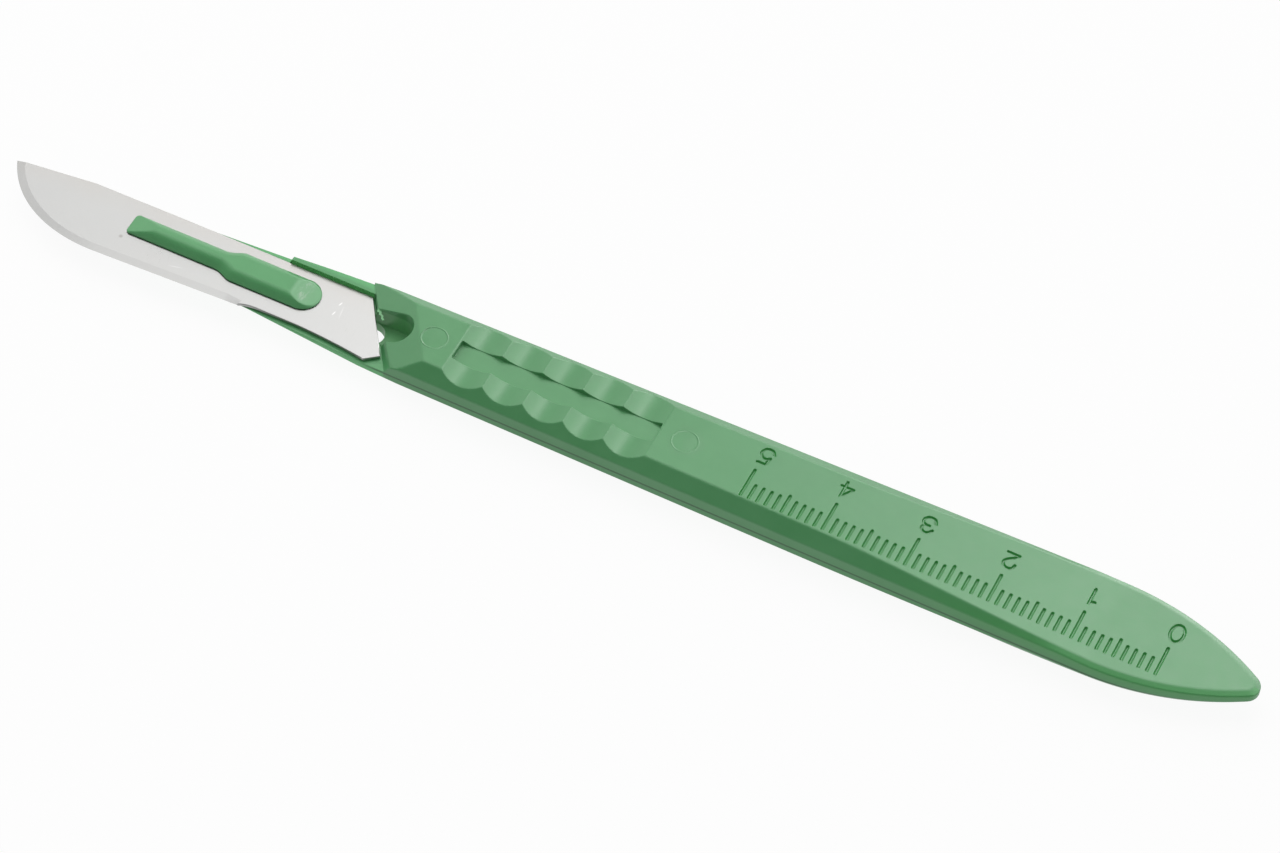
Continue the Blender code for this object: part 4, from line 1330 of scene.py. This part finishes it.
def steel_material(looks):
    """Satin steel: fine cross brushing, warmer at the spine, with a dark speck and a few scratches."""
    make = Maker("blade_steel")
    vector, (x, y, _) = make.place()
    steel = tuple(looks.steel_colour)
    cool = tinted(steel, 0.93, 0.945, 0.95)
    brush = make.streaks(vector, (6000.0, 700.0, 3000.0), 3.0, 0.6)
    cloud = make.noise(vector, 140.0)
    towards_spine = (y * 0.25 - 0.1).maths("MULTIPLY", 1.0, clamp=True)
    base = make.mix(towards_spine * 0.8, steel, tinted(steel, 1.0, 0.965, 0.93))
    base = make.mix(cloud.fade(0.35, 0.7) * 0.35, base, cool)
    base = make.mix((brush - 0.5).maths("MULTIPLY", 1.2, clamp=True), base, cool)
    # A small dark speck in front of the boss
    speck = 1.0 - ((x + 32.2).squared() + (y + 2.23).squared()).fade(0.0, 0.10)
    base = make.mix(speck * 0.45, base, (0.20, 0.18, 0.16, 1.0))
    scratch = 0.0
    for place_x, place_y, turn, reach in SCRATCHES:
        way_x, way_y = math.cos(math.radians(turn)), math.sin(math.radians(turn))
        along = (x - place_x) * way_x + (y - place_y) * way_y
        across = (y - place_y) * way_x - (x - place_x) * way_y
        line = 1.0 - abs(across).fade(0.02, 0.11)
        scratch = line * (1.0 - abs(along).fade(0.1, reach)) * (0.4 / max(reach, 0.4)) + scratch
    base = make.mix(scratch.maths("MULTIPLY", 0.45, clamp=True), base, (0.90, 0.90, 0.90, 1.0))
    bump = make.add("ShaderNodeBump", None, {"Height": brush, "Strength": 0.10, "Distance": 0.00002})
    rough = looks.steel_roughness + (brush - 0.5) * 0.10 + (cloud - 0.5) * 0.06
    shader = make.add("ShaderNodeBsdfPrincipled", None, {
        "Base Color": base, "Roughness": rough, "Metallic": 1.0, "Normal": bump.outputs[0]})
    return make.finish(shader)


def floor_material(looks):
    """White floor that keeps a faint shadow, and looks white to the camera and to glossy steel."""
    make = Maker("white_floor")
    vector, _ = make.place()
    base = make.mix(make.noise(vector, 9.0) * 0.04, tuple(looks.floor_colour), (0.88, 0.88, 0.88, 1.0))
    diffuse = make.add("ShaderNodeBsdfPrincipled", None, {"Base Color": base, "Roughness": 0.9,
                                                          "Specular IOR Level": 0.0})
    glow = make.add("ShaderNodeEmission", None, {"Color": (1.0, 1.0, 1.0, 1.0), "Strength": 1.0})
    path = make.add("ShaderNodeLightPath")
    seen = Number(make, path.outputs["Is Camera Ray"]) + Number(make, path.outputs["Is Glossy Ray"]) * 0.6
    seen = seen + Number(make, path.outputs["Is Diffuse Ray"]) * 0.8
    factor = seen.maths("MULTIPLY", looks.floor_glow, clamp=True)
    shader = make.add("ShaderNodeMixShader", None, {0: factor, 1: diffuse.outputs[0], 2: glow.outputs[0]})
    return make.finish(shader)


def studio_world(looks):
    """A white room: white to the camera, even and soft for matt surfaces, and for glossy ones
    brighter over the far side and the tail, darker over the near side."""
    make = Maker("studio", bpy.data.worlds)
    way = make.add("ShaderNodeTexCoord").outputs["Generated"]
    split = make.add("ShaderNodeSeparateXYZ", None, {0: way})
    along, across, up = (Number(make, split.outputs[i]) for i in range(3))
    end = along.fade(-0.21, -0.06) * (1.0 - along.fade(-0.08, 0.12) * 0.55)
    low = (1.0 - across.fade(-0.70, -0.40)) * (1.0 - up.fade(0.25, 0.50))
    strength = 0.18 + low * 0.6 + across.fade(-0.35, 0.30) * (1.10 + end * 4.3)
    colour = (1.0, 1.0, 1.0, 1.0)
    room = make.add("ShaderNodeBackground", None, {"Color": colour, "Strength": looks.world_strength})
    panel = make.add("ShaderNodeBackground", None, {"Color": colour, "Strength": strength})
    paper = make.add("ShaderNodeBackground", None, {"Color": colour, "Strength": 1.0})
    path = make.add("ShaderNodeLightPath")
    glossy = make.add("ShaderNodeMixShader", None,
                      {0: path.outputs["Is Glossy Ray"], 1: room.outputs[0], 2: panel.outputs[0]})
    seen = make.add("ShaderNodeMixShader", None,
                    {0: path.outputs["Is Camera Ray"], 1: glossy.outputs[0], 2: paper.outputs[0]})
    make.add("ShaderNodeOutputWorld", None, {"Surface": seen.outputs[0]})
    return make.material


# Add-on

def length_setting(name, description, default, low, high):
    return bpy.props.FloatProperty(name=name, description=description, default=default, min=low,
                                   max=high, precision=5, unit="LENGTH")


def share_setting(name, description, default, low=0.0, high=1.0):
    return bpy.props.FloatProperty(name=name, description=description, default=default, min=low,
                                   max=high, subtype="FACTOR")


def power_setting(name, description, default, high):
    return bpy.props.FloatProperty(name=name, description=description, default=default, min=0.0, max=high)


def colour_setting(name, description, default):
    return bpy.props.FloatVectorProperty(name=name, description=description, default=default,
                                         subtype="COLOR", size=4, min=0.0, max=1.0)


class ScalpelHandleSettings(bpy.types.PropertyGroup):
    """Sizes and finish of the moulded handle."""
    scallop_depth: length_setting("Scallop depth", "Depth of the grip's hollows", 0.00060, 0.0003, 0.0010)
    pocket_depth: length_setting("Pocket depth", "Depth of the grip's pocket below the face", 0.00068,
                                 0.0003, 0.0010)
    mark_width: length_setting("Mark width", "Width of the ruler's grooves", 0.00047, 0.0003, 0.0006)
    mark_depth: length_setting("Mark depth", "Depth of the ruler's grooves", 0.00030, 0.0001, 0.0005)
    numeral_depth: length_setting("Numeral depth", "Depth of the ruler's numerals", 0.00027,
                                  0.0001, 0.0004)
    plastic_colour: colour_setting("Plastic colour", "Colour of the moulding", (0.073, 0.293, 0.104, 1.0))
    plastic_roughness: share_setting("Plastic roughness", "Roughness of the moulding", 0.31, 0.1, 0.9)


class ScalpelBladeSettings(bpy.types.PropertyGroup):
    """Sizes and finish of the blade."""
    grind_width: length_setting("Grind width", "Width of the ground band along the edge", 0.00092,
                                0.0004, 0.0015)
    steel_colour: colour_setting("Steel colour", "Colour of the blade", (0.455, 0.453, 0.445, 1.0))
    steel_roughness: share_setting("Steel roughness", "Roughness of the blade's faces", 0.30, 0.05, 0.9)


class ScalpelStageSettings(bpy.types.PropertyGroup):
    """Floor and lights."""
    floor_colour: colour_setting("Floor colour", "Colour of the floor", (0.93, 0.93, 0.93, 1.0))
    floor_glow: share_setting("Floor glow", "Share of plain white that the camera sees in the floor", 0.93)
    key_power: power_setting("Key power", "Power of the large light on the far side", 12.4, 50.0)
    world_strength: power_setting("World strength", "Strength of the light from all round", 0.40, 2.0)


def floor_object(looks):
    builder = bmesh.new()
    bmesh.ops.create_grid(builder, x_segments=2, y_segments=2, size=FLOOR_SIZE)
    mesh = bpy.data.meshes.new("floor")
    builder.to_mesh(mesh)
    builder.free()
    mesh.materials.append(floor_material(looks))
    floor = new_object("floor", mesh)
    floor.location = (0.0, 0.0, FLOOR_HEIGHT)
    return floor


def key_lamp(power):
    """A large round light on the far side, which doesn't show in glossy faces."""
    light = bpy.data.lights.new("key", "AREA")
    light.shape = "DISK"
    light.size = KEY_SIZE
    light.energy = power
    lamp = new_object("key", light)
    lamp.location = KEY_PLACE
    lamp.rotation_euler = lamp.location.to_track_quat("Z", "Y").to_euler()
    lamp.visible_glossy = False


def photo_camera():
    camera = bpy.data.cameras.new("camera")
    camera.lens = CAMERA_LENS
    camera.sensor_width = 36.0
    camera.clip_start = 0.01
    eye = new_object("camera", camera)
    eye.location = CAMERA_PLACE
    eye.rotation_euler = [math.radians(angle) for angle in CAMERA_TURN]
    return eye


class SCALPEL_OT_handle(bpy.types.Operator):
    """Build the moulded handle with its grip, ruler and boss"""
    bl_idname = "scalpel.handle"
    bl_label = "Build handle"

    def execute(self, context):
        settings = context.scene.scalpel_handle
        skin = handle_skin(settings)
        boss_skin(skin)
        scrap_skin(skin)
        item = skin.finish("handle_moulding")
        item.data.materials.append(plastic_material(settings))
        if not 20000 < len(item.data.polygons) < 200000:
            raise RuntimeError("the handle's shell is not complete")
        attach(item, "root")
        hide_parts("handle")
        return {"FINISHED"}


class SCALPEL_OT_blade(bpy.types.Operator):
    """Build the steel blade with its ground edge and slot"""
    bl_idname = "scalpel.blade"
    bl_label = "Build blade"

    def execute(self, context):
        settings = context.scene.scalpel_blade
        item = blade_object("blade_sheet", settings)
        item.data.materials.append(steel_material(settings))
        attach(item, "root")
        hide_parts("blade")
        return {"FINISHED"}


class SCALPEL_OT_stage(bpy.types.Operator):
    """Build the floor, the lights and the camera"""
    bl_idname = "scalpel.stage"
    bl_label = "Build stage"

    def execute(self, context):
        settings = context.scene.scalpel_stage
        floor_object(settings)
        context.scene.world = studio_world(settings)
        key_lamp(settings.key_power)
        context.scene.camera = photo_camera()
        context.scene.view_settings.view_transform = "Standard"
        return {"FINISHED"}


class SCALPEL_PT_panel(bpy.types.Panel):
    """The scalpel's settings and build buttons"""
    bl_idname = "SCALPEL_PT_panel"
    bl_label = "Scalpel"
    bl_space_type = "VIEW_3D"
    bl_region_type = "UI"
    bl_category = "Scalpel"

    def draw(self, context):
        layout = self.layout
        for operator, group in (("scalpel.handle", context.scene.scalpel_handle),
                                ("scalpel.blade", context.scene.scalpel_blade),
                                ("scalpel.stage", context.scene.scalpel_stage)):
            box = layout.box()
            for name in group.__annotations__:
                box.prop(group, name)
            box.operator(operator)


GROUPS = {"scalpel_handle": ScalpelHandleSettings, "scalpel_blade": ScalpelBladeSettings,
          "scalpel_stage": ScalpelStageSettings}
CLASSES = (SCALPEL_OT_handle, SCALPEL_OT_blade, SCALPEL_OT_stage, SCALPEL_PT_panel)


def register():
    for name, group in GROUPS.items():
        bpy.utils.register_class(group)
        setattr(bpy.types.Scene, name, bpy.props.PointerProperty(type=group))
    for item in CLASSES:
        bpy.utils.register_class(item)


def unregister():
    for item in reversed(CLASSES):
        bpy.utils.unregister_class(item)
    for name, group in GROUPS.items():
        delattr(bpy.types.Scene, name)
        bpy.utils.unregister_class(group)


def main():
    register()
    bpy.ops.scalpel.handle()
    bpy.ops.scalpel.blade()
    bpy.ops.scalpel.stage()


if __name__ == "__main__":
    main()
